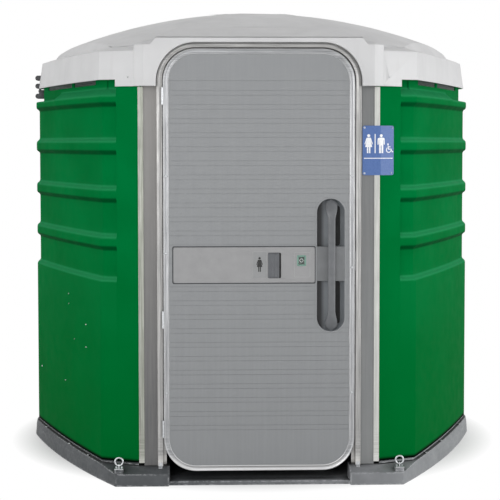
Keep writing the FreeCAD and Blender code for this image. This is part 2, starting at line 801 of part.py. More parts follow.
def door_frame():
    """Hat section round the doorway with a stop bar welded inside it: two jambs and a bent head."""
    y0 = FRAME_Y
    y1 = FRAME_Y + FRAME_DEPTH
    face = frame_arch(0, y0, y0 + FRAME_T).cut(frame_arch(FRAME_W, y0 - 1, y1, 1))
    outer = frame_arch(0, y0, y1).cut(frame_arch(FRAME_T, y0 - 1, y1 + 1, 1))
    inner = frame_arch(FRAME_W - FRAME_T, y0, y1).cut(frame_arch(FRAME_W, y0 - 1, y1 + 1, 1))
    stop_y = LEAF_BACK_Y + STOP_GAP
    stop = frame_arch(FRAME_W, stop_y, stop_y + STOP_T)
    stop = stop.cut(frame_arch(FRAME_W + STOP_W, stop_y - 1, stop_y + STOP_T + 1, 1))
    hat = fuse([face, outer, inner]).cut(strike_hole())
    wide = FRAME_HALF_IN + FRAME_W + 1
    depth = (FRAME_Y - 1, FRAME_Y + FRAME_DEPTH + 1)
    left = box(-wide, 0, *depth, 0, POST_TOP)
    right = box(0, wide, *depth, 0, POST_TOP)
    head = box(-wide, wide, *depth, POST_TOP, frame_top() + 1)
    lengths = {"left": [hat.common(left)], "right": keeper_lengths(hat.common(right)),
               "head": [hat.common(head)]}
    return [group(lengths[name] + [stop.common(part)])
            for name, part in (("left", left), ("right", right), ("head", head))]


def keeper_lengths(jamb):
    """The right jamb, face to face: its plain lengths, and the flat strips round the bolt's hole."""
    x0 = FRAME_HALF_IN
    x1 = FRAME_HALF_IN + FRAME_W
    y0 = FRAME_Y
    y1 = FRAME_Y + FRAME_DEPTH
    low = WINDOW_Z - KEEPER_HALF_H
    high = WINDOW_Z + KEEPER_HALF_H
    hole_low = WINDOW_Z - BOLT_H / 2 - STRIKE_CLEAR
    hole_high = WINDOW_Z + BOLT_H / 2 + STRIKE_CLEAR
    below = box(x0, x1, y0, y1, 0, low)
    above = box(x0, x1, y0, y1, high, POST_TOP)
    face = box(x0, x1, y0, y0 + FRAME_T, low, high)
    outer = box(x1 - FRAME_T, x1, y0 + FRAME_T, y1, low, high)
    strip = (x0, x0 + FRAME_T, y0 + FRAME_T, y1)
    under_hole = box(*strip, low, hole_low)
    over_hole = box(*strip, hole_high, high)
    before_hole = box(x0, x0 + FRAME_T, y0 + FRAME_T, BOLT_Y - STRIKE_CLEAR, hole_low, hole_high)
    behind_hole = box(x0, x0 + FRAME_T, BOLT_Y + BOLT_T + STRIKE_CLEAR, y1, hole_low, hole_high)
    parts = [below, above, face, outer, under_hole, over_hole, before_hole, behind_hole]
    return [jamb.common(part) for part in parts]


def strike_plate():
    """Plate round the bolt's hole in the door frame."""
    plate = box(FRAME_HALF_IN - STRIKE_T, FRAME_HALF_IN, BOLT_Y - STRIKE_LAP, BOLT_Y + BOLT_T + STRIKE_LAP,
                WINDOW_Z - STRIKE_HALF_H, WINDOW_Z + STRIKE_HALF_H)
    return plate.cut(strike_hole())


def strike_hole():
    """The hole that the tip of the bolt slides into."""
    half = BOLT_H / 2 + STRIKE_CLEAR
    return box(FRAME_HALF_IN - STRIKE_T - 1, FRAME_HALF_IN + FRAME_T + 1, BOLT_Y - STRIKE_CLEAR,
               BOLT_Y + BOLT_T + STRIKE_CLEAR, WINDOW_Z - half, WINDOW_Z + half)


def kerb_z(y):
    """Height of the sloping top of the kerb in front of the doorway."""
    rim = WALL_FRONT + RIM_OUT
    return KERB_H - (abs(y) - rim) * (KERB_H - KERB_EDGE_H) / (BASE_FRONT - KERB_DRAFT - rim)


def foot_brackets():
    """Small angles that hold the feet of the door frame on the slope of the kerb."""
    x0 = FRAME_HALF_IN + FRAME_T
    x1 = FRAME_HALF_IN + FRAME_W - FRAME_T
    y = FRAME_Y
    tip = y - BRACKET_FOOT
    tab = y - BRACKET_T
    angle = prism_x([(y, kerb_z(y)), (tip, kerb_z(tip)), (tip, kerb_z(tip) + BRACKET_T),
                     (tab, kerb_z(tab) + BRACKET_T), (tab, KERB_H + BRACKET_TAB), (y, KERB_H + BRACKET_TAB)],
                    x0, x1)
    return group(both_sides(angle))


def leaf_slab(inset, y0, y1):
    half = LEAF_HALF - inset
    return rounded_slab(-half, half, LEAF_BOTTOM + inset, LEAF_TOP - inset, LEAF_R - inset, y0, y1)


def edge_trim():
    """Channel round the door leaf."""
    web = leaf_slab(0, FRAME_Y, LEAF_BACK_Y).cut(leaf_slab(TRIM_T, FRAME_Y - 1, LEAF_BACK_Y + 1))
    front = leaf_slab(0, FRAME_Y, FRAME_Y + TRIM_T).cut(leaf_slab(TRIM_W, FRAME_Y - 1, FRAME_Y + TRIM_T + 1))
    back = leaf_slab(0, LEAF_BACK_Y - TRIM_T, LEAF_BACK_Y)
    back = back.cut(leaf_slab(TRIM_W, LEAF_BACK_Y - TRIM_T - 1, LEAF_BACK_Y + 1))
    trim = fuse([web, front, back])
    return trim.cut(bolt_way(LEAF_HALF - TRIM_T - 1, LEAF_HALF + 1))


def bolt_way(x0, x1):
    """The channel that the sliding bolt needs."""
    half = BOLT_H / 2 + FIT_GAP
    return box(x0, x1, BOLT_Y - FIT_GAP, BOLT_Y + BOLT_T + FIT_GAP, WINDOW_Z - half, WINDOW_Z + half)


def pull_stadium(grow, y0, y1):
    half = PULL_W / 2 + grow
    return rounded_slab(PULL_X - half, PULL_X + half, PULL_Z0 - grow, PULL_Z1 + grow, half - 1, y0, y1)


def door_front_panel():
    """Grooved skin with the pocket behind the pull handle and the bed of the latch plate."""
    inset = TRIM_T + FIT_GAP
    skin = leaf_slab(inset, SKIN_Y, SKIN_Y + SKIN_T)
    floor_y = SKIN_Y + PULL_POCKET_D
    tray = pull_stadium(POCKET_WALL, SKIN_Y, floor_y + POCKET_WALL)
    grooves = []
    levels = [GROOVE_FIRST_Z]
    for index in range(GROOVE_COUNT):
        level = GROOVE_Z - index * GROOVE_PITCH
        levels += [level, level + GROOVE_PAIR]
    for level in levels:
        grooves.append(box(-LEAF_HALF, LEAF_HALF, SKIN_Y - 1, SKIN_Y + GROOVE_D, level - GROOVE_W / 2,
                           level + GROOVE_W / 2))
    skin = skin.cut(grooves)
    panel = fuse([skin, tray]).cut(pull_stadium(0, SKIN_Y - 1, floor_y))
    bed = rounded_slab(PLATE_X0 - PLATE_GAP, PLATE_X1 + PLATE_GAP, PLATE_Z0 - PLATE_GAP,
                       PLATE_Z1 + PLATE_GAP, PLATE_R + PLATE_GAP, SKIN_Y - 1, SKIN_Y + PLATE_SINK)
    thumb = thumb_box(POCKET_WALL + 1, SKIN_Y - 1, SKIN_Y + SKIN_T + 1)
    return panel.cut([bed, thumb, window_box(0, SKIN_Y - 1, SKIN_Y + SKIN_T + 1),
                      bolt_way(PULL_X - PULL_W / 2 - POCKET_WALL - 1, PULL_X + PULL_W / 2 + POCKET_WALL + 1)])


def thumb_box(grow, y0, y1):
    return rounded_slab(THUMB_X - THUMB_W / 2 - grow, THUMB_X + THUMB_W / 2 + grow,
                        THUMB_Z - THUMB_H / 2 - grow, THUMB_Z + THUMB_H / 2 + grow, 8, y0, y1)


def window_box(grow, y0, y1):
    return box(WINDOW_X - WINDOW_W / 2 - grow, WINDOW_X + WINDOW_W / 2 + grow, y0, y1,
               WINDOW_Z - WINDOW_H / 2 - grow, WINDOW_Z + WINDOW_H / 2 + grow)


def door_back_panel():
    inset = TRIM_T + FIT_GAP
    y1 = LEAF_BACK_Y - TRIM_T
    panel = leaf_slab(inset, y1 - BACK_SKIN_T, y1)
    return panel.cut(knob_slot(y1 - BACK_SKIN_T - 1, y1 + 1))


def knob_slot(y0, y1):
    """Slot for the knob's stem over the bolt's whole travel."""
    half = KNOB_R / 2 + 1
    return box(KNOB_X - half, KNOB_X + BOLT_TRAVEL + half, y0, y1, WINDOW_Z - half, WINDOW_Z + half)


def latch_plate():
    y0 = SKIN_Y + PLATE_SINK - PLATE_T
    plate = rounded_slab(PLATE_X0, PLATE_X1, PLATE_Z0, PLATE_Z1, PLATE_R, y0, y0 + PLATE_T)
    cup = thumb_box(POCKET_WALL, y0 + 1, y0 + THUMB_DEPTH)
    plate = fuse([plate, cup]).cut(thumb_box(0, y0 - 1, y0 + THUMB_DEPTH - POCKET_WALL))
    tile_bed = box(TILE_X - TILE_W / 2, TILE_X + TILE_W / 2, y0 - 1, y0 + TILE_T, TILE_Z - TILE_H / 2,
                   TILE_Z + TILE_H / 2)
    return plate.cut([tile_bed, window_box(0, y0 - 1, y0 + PLATE_T + 1)])


def symbol_tile():
    """Flat tile let into the latch plate, flush with its face."""
    y0 = SKIN_Y + PLATE_SINK - PLATE_T
    gap = FIT_GAP
    return box(TILE_X - TILE_W / 2 + gap, TILE_X + TILE_W / 2 - gap, y0, y0 + TILE_T,
               TILE_Z - TILE_H / 2 + gap, TILE_Z + TILE_H / 2 - gap)


def indicator_window():
    """Clear pane in front of the occupancy flag."""
    y0 = SKIN_Y + PLATE_SINK - PLATE_T
    return window_box(0, y0 + 1, y0 + 1 + WINDOW_T)


def latch_bolt():
    return box(BOLT_TAIL, BOLT_TIP, BOLT_Y, BOLT_Y + BOLT_T, WINDOW_Z - BOLT_H / 2, WINDOW_Z + BOLT_H / 2)


def occupancy_flag():
    """Two-colour flag on the front of the bolt; the half under the window says vacant or occupied."""
    half_h = WINDOW_H / 2 + 4
    y0 = SKIN_Y + SKIN_T + FIT_GAP
    x1 = WINDOW_X + WINDOW_W / 2 + 2
    return box(x1 - WINDOW_W - BOLT_TRAVEL - 4, x1, y0, BOLT_Y, WINDOW_Z - half_h, WINDOW_Z + half_h)


def latch_knob():
    """Thumb knob on the inside, joined to the bolt by a stem."""
    stem = box(KNOB_X - KNOB_R / 2, KNOB_X + KNOB_R / 2, BOLT_Y + BOLT_T, LEAF_BACK_Y + HOUSING_D + 4,
               WINDOW_Z - KNOB_R / 2, WINDOW_Z + KNOB_R / 2)
    knob = cyl(V(KNOB_X, LEAF_BACK_Y + HOUSING_D + 2, WINDOW_Z), Y_AXIS, KNOB_R, KNOB_OUT - HOUSING_D)
    knob = knob.makeFillet(3, [knob.Edges[0]])
    return fuse([stem, knob])


def latch_housing():
    """Cover over the latch on the inside of the door."""
    x_mid = KNOB_X + BOLT_TRAVEL / 2
    y0 = LEAF_BACK_Y - TRIM_T
    y1 = LEAF_BACK_Y + HOUSING_D
    x0 = x_mid - HOUSING_W / 2
    x1 = x_mid + HOUSING_W / 2
    z0 = WINDOW_Z - HOUSING_H / 2
    z1 = WINDOW_Z + HOUSING_H / 2
    cover = rounded_slab(x0, x1, z0, z1, 12, y0, y1)
    inner = rounded_slab(x0 + HOUSING_T, x1 - HOUSING_T, z0 + HOUSING_T, z1 - HOUSING_T, 10, y0 - 1,
                         y1 - HOUSING_T)
    return cover.cut([inner, knob_slot(y1 - HOUSING_T - 1, y1 + 1)])


def bolt_cover():
    """Cap over the bolt where it crosses the handle pocket."""
    gap = FIT_GAP
    y0 = FRAME_Y - 1
    y1 = SKIN_Y + PULL_POCKET_D
    half = PULL_W / 2 - gap
    z0 = COVER_Z - COVER_H / 2
    z1 = COVER_Z + COVER_H / 2
    cap = box(PULL_X - half, PULL_X + half, y0, y1, z0, z1)
    cap = cap.makeFillet(3, [e for e in cap.Edges if e.CenterOfMass.y < y0 + 0.1])
    inner = box(PULL_X - half + COVER_T, PULL_X + half - COVER_T, y0 + COVER_T, y1 + 1, z0 + COVER_T,
                z1 - COVER_T)
    way = bolt_way(PULL_X - half - 1, PULL_X + half + 1)
    return cap.cut([inner, way])


def pull_handle():
    """Long bar that leans back into its pocket at both ends."""
    front = FRAME_Y - BAR_OUT
    back = front + BAR_T
    floor_y = SKIN_Y + PULL_POCKET_D
    z0 = PULL_Z0 + BAR_END_GAP
    z1 = PULL_Z1 - BAR_END_GAP
    tip = floor_y - BAR_FOOT_UP
    heel = tip + BAR_HEEL
    bend = BAR_SLANT + BAR_CROOK
    points = [(floor_y, z0), (tip, z0), (front, z0 + BAR_SLANT), (front, z1 - BAR_SLANT), (tip, z1),
              (floor_y, z1), (floor_y, z1 - BAR_FOOT_T), (heel, z1 - BAR_FOOT_T), (back, z1 - bend),
              (back, z0 + bend), (heel, z0 + BAR_FOOT_T), (floor_y, z0 + BAR_FOOT_T)]
    bar = prism_x(points, BAR_X - BAR_W / 2, BAR_X + BAR_W / 2)
    long_edges = [e for e in bar.Edges if e.Length > (z1 - z0) / 2 and e.CenterOfMass.y < back + 1]
    return bar.makeFillet(6, long_edges)


def inner_pull_handle():
    """Bow handle on the inside of the door."""
    y0 = LEAF_BACK_Y - TRIM_T
    y1 = LEAF_BACK_Y + INNER_PULL_OUT
    half = INNER_PULL_LEN / 2
    radius = INNER_PULL_D / 2
    path = tube_path([(INNER_PULL_X, y0, INNER_PULL_Z - half), (INNER_PULL_X, y1, INNER_PULL_Z - half),
                      (INNER_PULL_X, y1, INNER_PULL_Z + half), (INNER_PULL_X, y0, INNER_PULL_Z + half)], 18)
    return tube(path, radius)


def tube_path(points, bend):
    """Straight runs joined by tangent arcs of one radius."""
    pts = [V(*p) for p in points]
    edges = []
    start = pts[0]
    for before, corner, after in zip(pts, pts[1:], pts[2:]):
        u = (before - corner).normalize()
        w = (after - corner).normalize()
        half = u.getAngle(w) / 2
        cut = bend / math.tan(half)
        a = corner + u * cut
        b = corner + w * cut
        bisector = (u + w).normalize()
        centre = corner + bisector * (bend / math.sin(half))
        edges.append(Part.LineSegment(start, a).toShape())
        edges.append(Part.Arc(a, centre - bisector * bend, b).toShape())
        start = b
    edges.append(Part.LineSegment(start, pts[-1]).toShape())
    return Part.Wire(edges)


def tube(path, radius):
    """A round bar along a path."""
    first = path.Edges[0]
    start = first.valueAt(first.FirstParameter)
    tangent = first.tangentAt(first.FirstParameter)
    profile = Part.Wire(Part.makeCircle(radius, start, tangent))
    return path.makePipeShell([profile], True, False, 0)


def coat_hook():
    y0 = LEAF_BACK_Y - TRIM_T
    plate = rounded_slab(-HOOK_PLATE_W / 2, HOOK_PLATE_W / 2, HOOK_Z - HOOK_PLATE_H / 2,
                         HOOK_Z + HOOK_PLATE_H / 2, HOOK_PLATE_W / 4, y0, y0 + HOOK_PLATE_T)
    low = HOOK_Z - HOOK_DROP
    path = tube_path([(0, y0 + 1, low), (0, y0 + HOOK_OUT, low), (0, y0 + HOOK_OUT, HOOK_Z + HOOK_RISE)],
                     HOOK_BEND)
    return fuse([plate, tube(path, HOOK_ROD_R)])


def hinge_axis():
    x = -(LEAF_HALF + HINGE_DOOR_T + 0.25)
    return x, FRAME_Y - HINGE_OUT


def knuckle(index, z_mid):
    """One knuckle of a hinge barrel, counted from the bottom."""
    x, y = hinge_axis()
    pitch = HINGE_H / KNUCKLES
    z0 = z_mid - HINGE_H / 2 + index * pitch + KNUCKLE_GAP / 2
    length = pitch - KNUCKLE_GAP
    outer = cyl(V(x, y, z0), Z_AXIS, HINGE_R, length)
    return outer, z0, length


def hinge_half(z_mid, x0, x1, parity):
    """A hinge plate with every other knuckle of the barrel."""
    x, y = hinge_axis()
    z0 = z_mid - HINGE_H / 2
    plate = box(x0, x1, FRAME_Y - 0.5, FRAME_Y + HINGE_PLATE_D, z0, z0 + HINGE_H)
    pieces = [plate]
    for index in range(KNUCKLES):
        if index % 2 == parity:
            outer, low, length = knuckle(index, z_mid)
            pieces.append(outer)
            pieces.append(box(x0, x1, y, FRAME_Y, low, low + length))
    half = fuse(pieces)
    bore = cyl(V(x, y, z0 - 1), Z_AXIS, HINGE_PIN_R + PIN_CLEAR, HINGE_H + 2)
    gaps = []
    for index in range(KNUCKLES):
        if index % 2 != parity:
            _, low, length = knuckle(index, z_mid)
            gaps.append(cyl(V(x, y, low - KNUCKLE_GAP), Z_AXIS, HINGE_R + 0.4, length + 2 * KNUCKLE_GAP))
    return half.cut([bore] + gaps)


def hinge_frame_leaves():
    x1 = -(FRAME_HALF_IN - HINGE_FRAME_T)
    return group([hinge_half(z, -FRAME_HALF_IN, x1, 0) for z in HINGE_ZS])


def hinge_door_leaves():
    return group([hinge_half(z, -(LEAF_HALF + HINGE_DOOR_T), -LEAF_HALF, 1) for z in HINGE_ZS])


def hinge_pins():
    x, y = hinge_axis()
    pins = []
    for z in HINGE_ZS:
        low = z - HINGE_H / 2 - 2
        pin = cyl(V(x, y, low), Z_AXIS, HINGE_PIN_R, HINGE_H + 4)
        top = cyl(V(x, y, z + HINGE_H / 2), Z_AXIS, HINGE_R - 0.5, 2)
        pins.append(fuse([pin, top]))
    return group(pins)


def trim_rivets():
    """Rivets on the face of the door trim."""
    x = LEAF_HALF - TRIM_W / 2
    places = [V(-x, FRAME_Y, z) for z in TRIM_RIVETS_LEFT] + [V(x, FRAME_Y, z) for z in TRIM_RIVETS_RIGHT]
    return [(place, V(0, -1, 0)) for place in places]


def roof_outlines():
    """Outline of the skirt at its bottom and at the edge of the deck."""
    low_c = WALLS.corners(-(ROOF_GAP + ROOF_T))
    low = Outline(low_c[0].x, WALL_FRONT + ROOF_GAP + ROOF_T, low_c[1].x, -low_c[1].y, ROOF_HALF_LOW,
                  BOW_R, ROUND_R)
    high_c = WALLS.corners(-ROOF_HIGH_OUT)
    high = Outline(high_c[0].x, WALL_FRONT + ROOF_HIGH_OUT, high_c[1].x, -high_c[1].y, ROOF_HALF_HIGH,
                   BOW_R, ROUND_R)
    return low, high


def dome_cap(t):
    """Everything under the double-curved dome surface, t below its outside."""
    side = BASE_HALF + HOOD_OVER
    z_low = DECK_Z - DOME_R_X / 5
    radius = DOME_R_X - t
    centre_z = DOME_TOP - DOME_R_X
    edge_z = centre_z + math.sqrt(radius ** 2 - side ** 2)
    top = V(0, 0, DOME_TOP - t)
    arc = Part.Arc(V(-side, 0, edge_z), top, V(side, 0, edge_z)).toShape()
    lines = Part.makePolygon([V(side, 0, edge_z), V(side, 0, z_low), V(-side, 0, z_low),
                              V(-side, 0, edge_z)])
    face = Part.Face(Part.Wire([arc] + lines.Edges))
    axis = V(0, 0, DOME_TOP - DOME_R_Y)
    cap = face.revolve(axis, X_AXIS, 2 * DOME_TURN)
    cap.rotate(axis, X_AXIS, -DOME_TURN)
    return cap


def hood_block(t):
    """Raised slope over the door that runs back into the dome."""
    run = HOOD_FRONT - HOOD_BACK
    bend = (HOOD_SLOPE_0 - HOOD_SLOPE_1) / (2 * run)

    def top_z(u):
        return HOOD_FRONT_Z + HOOD_SLOPE_0 * u - bend * u * u - t

    half = HOOD_HALF_FRONT + HOOD_OVER
    y_front = -PORTAL_FRONT + t
    y_brim = -HOOD_FRONT + t
    y_back = -HOOD_BACK
    z_low = PORTAL_LEDGE_Z - HOOD_FOOT
    a = V(-half, y_brim, top_z(t))
    b = V(-half, y_brim + (run - t) / 2, top_z(t + (run - t) / 2))
    c = V(-half, y_back, top_z(run))
    line = [V(-half, y_back, z_low), V(-half, y_front, z_low), V(-half, y_front, a.z - PORTAL_BRIM), a]
    edges = [Part.Arc(a, b, c).toShape(), Part.LineSegment(c, line[0]).toShape()]
    for p, q in zip(line, line[1:]):
        edges.append(Part.LineSegment(p, q).toShape())
    block = Part.Face(Part.Wire(Part.__sortEdges__(edges))).extrude(V(2 * half, 0, 0))
    for side in (-1, 1):
        p0 = V(side * HOOD_HALF_FRONT, -HOOD_FRONT, HOOD_FRONT_Z)
        back_x = HOOD_HALF_FRONT - HOOD_NARROW * run
        slope_z = HOOD_FRONT_Z + HOOD_SLOPE_0 * run - bend * run * run
        along = V(side * back_x, -HOOD_BACK, slope_z) - p0
        down = V(side * HOOD_SIDE_OUT, 0, -HOOD_SIDE_DOWN)
        normal = along.cross(down).normalize()
        if normal.x * side < 0:
            normal = normal * -1
        p0 = p0 - normal * t
        along = along.normalize()
        down = down.normalize()
        reach = 2 * HOOD_FRONT
        corners = []
        for i, j in ((-1, -1), (1, -1), (1, 1), (-1, 1)):
            corners.append(p0 + along * (i * reach) + down * (j * reach))
        wedge = Part.Face(Part.makePolygon(corners + [corners[0]])).extrude(normal * reach)
        block = block.cut(wedge)
    return block


def roof_block(t):
    """The whole roof as a block, t inside its outer surface."""
    low, high = roof_outlines()
    bottom = SKIRT_Z_FRONT - (OUTSIDE if t else 0)
    rise = DECK_Z - SKIRT_Z_FRONT
    pieces = []
    if t:
        pieces.append(Part.Face(low.whole(t, bottom)).extrude(V(0, 0, OUTSIDE)))
    pieces.append(loft([low.whole(t, SKIRT_Z_FRONT), high.whole(t, SKIRT_Z_FRONT + rise - t)]))
    dome_c = high.corners(DECK_W)
    dome = Outline(dome_c[0].x, high.front - DECK_W, dome_c[1].x, -dome_c[1].y, high.half - DECK_W, BOW_R,
                   DOME_ROUND_R)
    deck_top = DECK_Z + DECK_RISE
    pieces.append(loft([high.whole(t, DECK_Z - t), dome.whole(t, deck_top - t)]))
    climb = DOME_TOP + DOME_OVER - deck_top
    shift = climb * DOME_SIDE_IN / DOME_SIDE_UP
    sides = loft([dome.whole(t, deck_top - DOME_LAP - t), dome.whole(t, deck_top - t),
                  dome.whole(t + shift, deck_top + climb - t)])
    pieces.append(sides.common(dome_cap(t)))
    wide = PORTAL_WIDE - t
    front = -PORTAL_FRONT + t
    side = PORTAL_HALF - t * 0.3
    back = -(PORTAL_FRONT - DECK_W * 2)
    portal = prism_z([(-wide, back), (-wide, -PORTAL_BACK + t), (-side, front), (side, front),
                      (wide, -PORTAL_BACK + t), (wide, back)], bottom, PORTAL_LEDGE_Z - t)
    pieces.append(portal)
    pieces.append(hood_block(t))
    return pieces[0].fuse(pieces[1:])


def roof():
    """One moulding: skirt, deck, dome and the hood over the door."""
    shell = roof_block(0).cut(roof_block(ROOF_T))
    lip_y = FRAME_Y - 0.5
    lip = arch_slab(ARCH_HALF + ROOF_T, SKIRT_Z_FRONT, ARCH_TOP + ROOF_T, ARCH_R + ROOF_T,
                    -PORTAL_FRONT, lip_y)
    opening = arch_slab(ARCH_HALF, SKIRT_Z_FRONT - OUTSIDE, ARCH_TOP, ARCH_R, -PORTAL_FRONT - 1, lip_y + 1)
    step = box(SKIRT_STEP_X, BASE_HALF, -BASE_FRONT, BASE_FRONT, SKIRT_Z_FRONT - OUTSIDE, SKIRT_Z_SIDE)
    pipe_hole = cyl(V(PIPE_X, PIPE_Y, SKIRT_Z_FRONT), Z_AXIS, PIPE_R + FIT_GAP, DOME_TOP - SKIRT_Z_FRONT)
    shell = shell.fuse(lip).cut([opening, step, flip_x(step), pipe_hole])
    holes = [rivet_hole(p, out, ROOF_RIVET_GRIP) for p, out in roof_rivet_places()]
    return shell.cut(holes).removeSplitter()


def tie_down_plate():
    """Plate with an upright lug, bolted on the kerb."""
    z0 = TIE_PAD_Z
    plate = box(TIE_X - TIE_W / 2, TIE_X + TIE_W / 2, -TIE_Y - TIE_L / 2, -TIE_Y + TIE_L / 2, z0, z0 + TIE_T)
    hole_z = z0 + TIE_T + TIE_HOLE_UP
    lug_r = TIE_HOLE_R + TIE_EYE_WALL
    lug = box(TIE_X - TIE_LUG_T / 2, TIE_X + TIE_LUG_T / 2, -TIE_Y - lug_r, -TIE_Y + lug_r, z0, hole_z)
    eye = cyl(V(TIE_X - TIE_LUG_T / 2, -TIE_Y, hole_z), X_AXIS, lug_r, TIE_LUG_T)
    hole = cyl(V(TIE_X - TIE_LUG_T, -TIE_Y, hole_z), X_AXIS, TIE_HOLE_R, TIE_LUG_T * 2)
    heads = []
    for side in (-1, 1):
        point = V(TIE_X + side * (TIE_W / 2 - TIE_BOLT_IN), -TIE_Y + TIE_BOLT_BACK, z0 + TIE_T)
        heads.append(hex_head(point, BOLT_HEAD_H))
    return fuse([plate, lug, eye] + heads).cut(hole)


def tie_down_ring():
    hole_z = TIE_PAD_Z + TIE_T + TIE_HOLE_UP
    return Part.makeTorus(RING_R, RING_WIRE_R, V(TIE_X, -TIE_Y, hole_z + RING_R), Y_AXIS)


def sign_line(d):
    """Plan points of the sign at offset d outside the wall face, from left to right."""
    x0 = SIGN_X - SIGN_W / 2
    flat_y = -(WALL_FRONT + STRIP_T) - d
    out = STRIP_T + d
    s = (flat_y - WALLS.facet_point(0, -out).y) / WALLS.facet_dir.y
    fold = WALLS.facet_point(s, -out)
    end = fold + WALLS.facet_dir * (SIGN_X + SIGN_W / 2 - FACET_X)
    return [(x0, flat_y), (fold.x, flat_y), (end.x, end.y)]


def sign_plate():
    inner = sign_line(SIGN_GAP)
    outer = sign_line(SIGN_GAP + SIGN_T)
    z0 = SIGN_Z - SIGN_H / 2
    plate = prism_z(inner + list(reversed(outer)), z0, z0 + SIGN_H)
    ends = (V(*outer[0], 0), V(*outer[-1], 0))
    corners = []
    for edge in plate.Edges:
        middle = V(edge.CenterOfMass.x, edge.CenterOfMass.y, 0)
        if edge.Length < SIGN_T * 2 and min((middle - end).Length for end in ends) < SIGN_T:
            corners.append(edge)
    plate = plate.makeFillet(SIGN_R, corners)
    holes = [rivet_hole(p, out, grip) for p, out, grip in sign_rivet_places()]
    return plate.cut(holes)


def sign_rivet_places():
    """Four rivets: two into the door post, two into the facet of the wall."""
    places = []
    face_y = -(WALL_FRONT + STRIP_T) - SIGN_GAP - SIGN_T
    out = STRIP_T + SIGN_GAP + SIGN_T
    facet_end = sign_line(SIGN_GAP + SIGN_T)[2]
    inset = V(facet_end[0], facet_end[1], 0) - WALLS.facet_dir * SIGN_EDGE
    for side in (-1, 1):
        z = SIGN_Z + side * (SIGN_H / 2 - SIGN_EDGE)
        places.append((V(SIGN_X - SIGN_W / 2 + SIGN_EDGE, face_y, z), V(0, -1, 0), out + POST_T + 3))
        places.append((V(inset.x, inset.y, z), WALLS.facet_in * -1, out + WALL_T + 3))
    return places


def skirt_x(z):
    """Half width of the roof skirt at the widest corner."""
    share = (z - SKIRT_Z_FRONT) / (DECK_Z - SKIRT_Z_FRONT)
    return ROOF_HALF_LOW + (ROOF_HALF_HIGH - ROOF_HALF_LOW) * share


def lift_bracket():
    """Three rounded lugs on a plate at the widest corner, built on the right and turned to the left."""
    z_low = LIFT_ZS[0] - LIFT_LOBE_R
    z_high = LIFT_ZS[-1] + LIFT_LOBE_R
    z_mid = SKIRT_Z_SIDE - LIFT_STEP
    wall_x = WALL_HALF - RECESS_DEPTH + FIT_GAP
    near = [(wall_x, z_low), (wall_x, z_mid), (skirt_x(z_mid) + FIT_GAP, z_mid),
            (skirt_x(z_high) + FIT_GAP, z_high)]
    far = [(skirt_x(z_high) + LIFT_T, z_high), (skirt_x(z_mid) + LIFT_T, z_mid),
           (skirt_x(z_mid) + LIFT_T, z_low)]
    y0 = LIFT_Y - LIFT_W / 2
    face = polygon([(x, y0, z) for x, z in near + far])
    plate = face.extrude(V(0, LIFT_W, 0))
    pieces = [plate]
    tip_x = WALL_HALF + LIFT_REACH - LIFT_LOBE_R
    lug_y = y0 + LIFT_LUG_IN
    lug_w = LIFT_W - 2 * LIFT_LUG_IN
    for z in LIFT_ZS:
        root_x = skirt_x(z_high) + 1 if z > z_mid else wall_x
        pieces.append(box(root_x, tip_x, lug_y, lug_y + lug_w, z - LIFT_LOBE_R, z + LIFT_LOBE_R))
        pieces.append(cyl(V(tip_x, lug_y, z), Y_AXIS, LIFT_LOBE_R, lug_w))
    bracket = fuse(pieces)
    low, high = roof_outlines()
    clear = loft([low.whole(-FIT_GAP, SKIRT_Z_FRONT), high.whole(-FIT_GAP, DECK_Z)])
    clear = clear.common(box(0, BASE_HALF * 2, -BASE_FRONT, BASE_FRONT, SKIRT_Z_SIDE - FIT_GAP, DECK_Z))
    wall = ring_between(WALLS, RECESS_DEPTH - FIT_GAP, RECESS_DEPTH + OUTSIDE, RECESS_Z, SKIRT_Z_SIDE,
                        ("facet", OUTSIDE))
    return flip_x(bracket.cut([clear, wall]))


def lift_bracket_bolts():
    """Two bolts through the lugs' gaps into the skirt."""
    bolts = []
    for a, b in zip(LIFT_ZS, LIFT_ZS[1:]):
        z = (a + b) / 2
        x = skirt_x(max(z, SKIRT_Z_SIDE - LIFT_STEP)) + LIFT_T
        bolts.append(cyl(V(-x, LIFT_Y, z), V(-1, 0, 0), LIFT_BOLT_R, LIFT_BOLT_H))
    return group(bolts)


def tank_outline():
    """Plan of the tank: square to the room, its left side along the wall."""
    clear = WALL_T + UPSTAND_T + TANK_CLEAR
    front_x = WALLS.bow_point(TANK_FRONT)[0].x - clear / WALLS.bow_point(TANK_FRONT)[1].x
    crease = WALLS.corners(clear)[1]
    facet_s = (TANK_BACK + WALLS.facet_point(0, clear).y) / -WALLS.facet_dir.y
    corner = WALLS.facet_point(facet_s, clear)
    return [(TANK_INNER_X, TANK_FRONT), (TANK_INNER_X, TANK_BACK), (-corner.x, TANK_BACK),
            (-crease.x, -crease.y), (-front_x, TANK_FRONT)]


def waste_tank():
    points = tank_outline()
    outer = prism_z(points, FLOOR_T, TANK_TOP)
    face = polygon([(x, y, FLOOR_T + TANK_T) for x, y in points])
    inner = face.makeOffset2D(-TANK_T).extrude(V(0, 0, TANK_TOP - FLOOR_T - 2 * TANK_T))
    rim = 2 * (SEAT_RIM + MOUTH_LAP)
    mouth = oval(SEAT_W - rim, SEAT_L - rim, TANK_TOP - TANK_T - 1, TANK_TOP + 1)
    pipe = cyl(V(PIPE_X, PIPE_Y, TANK_TOP - TANK_T - 1), Z_AXIS, PIPE_R - PIPE_T, TANK_T + 2)
    return outer.cut([inner, mouth, pipe])


def seat_mid_y():
    return SEAT_PIN_Y - SEAT_SETBACK - SEAT_L / 2


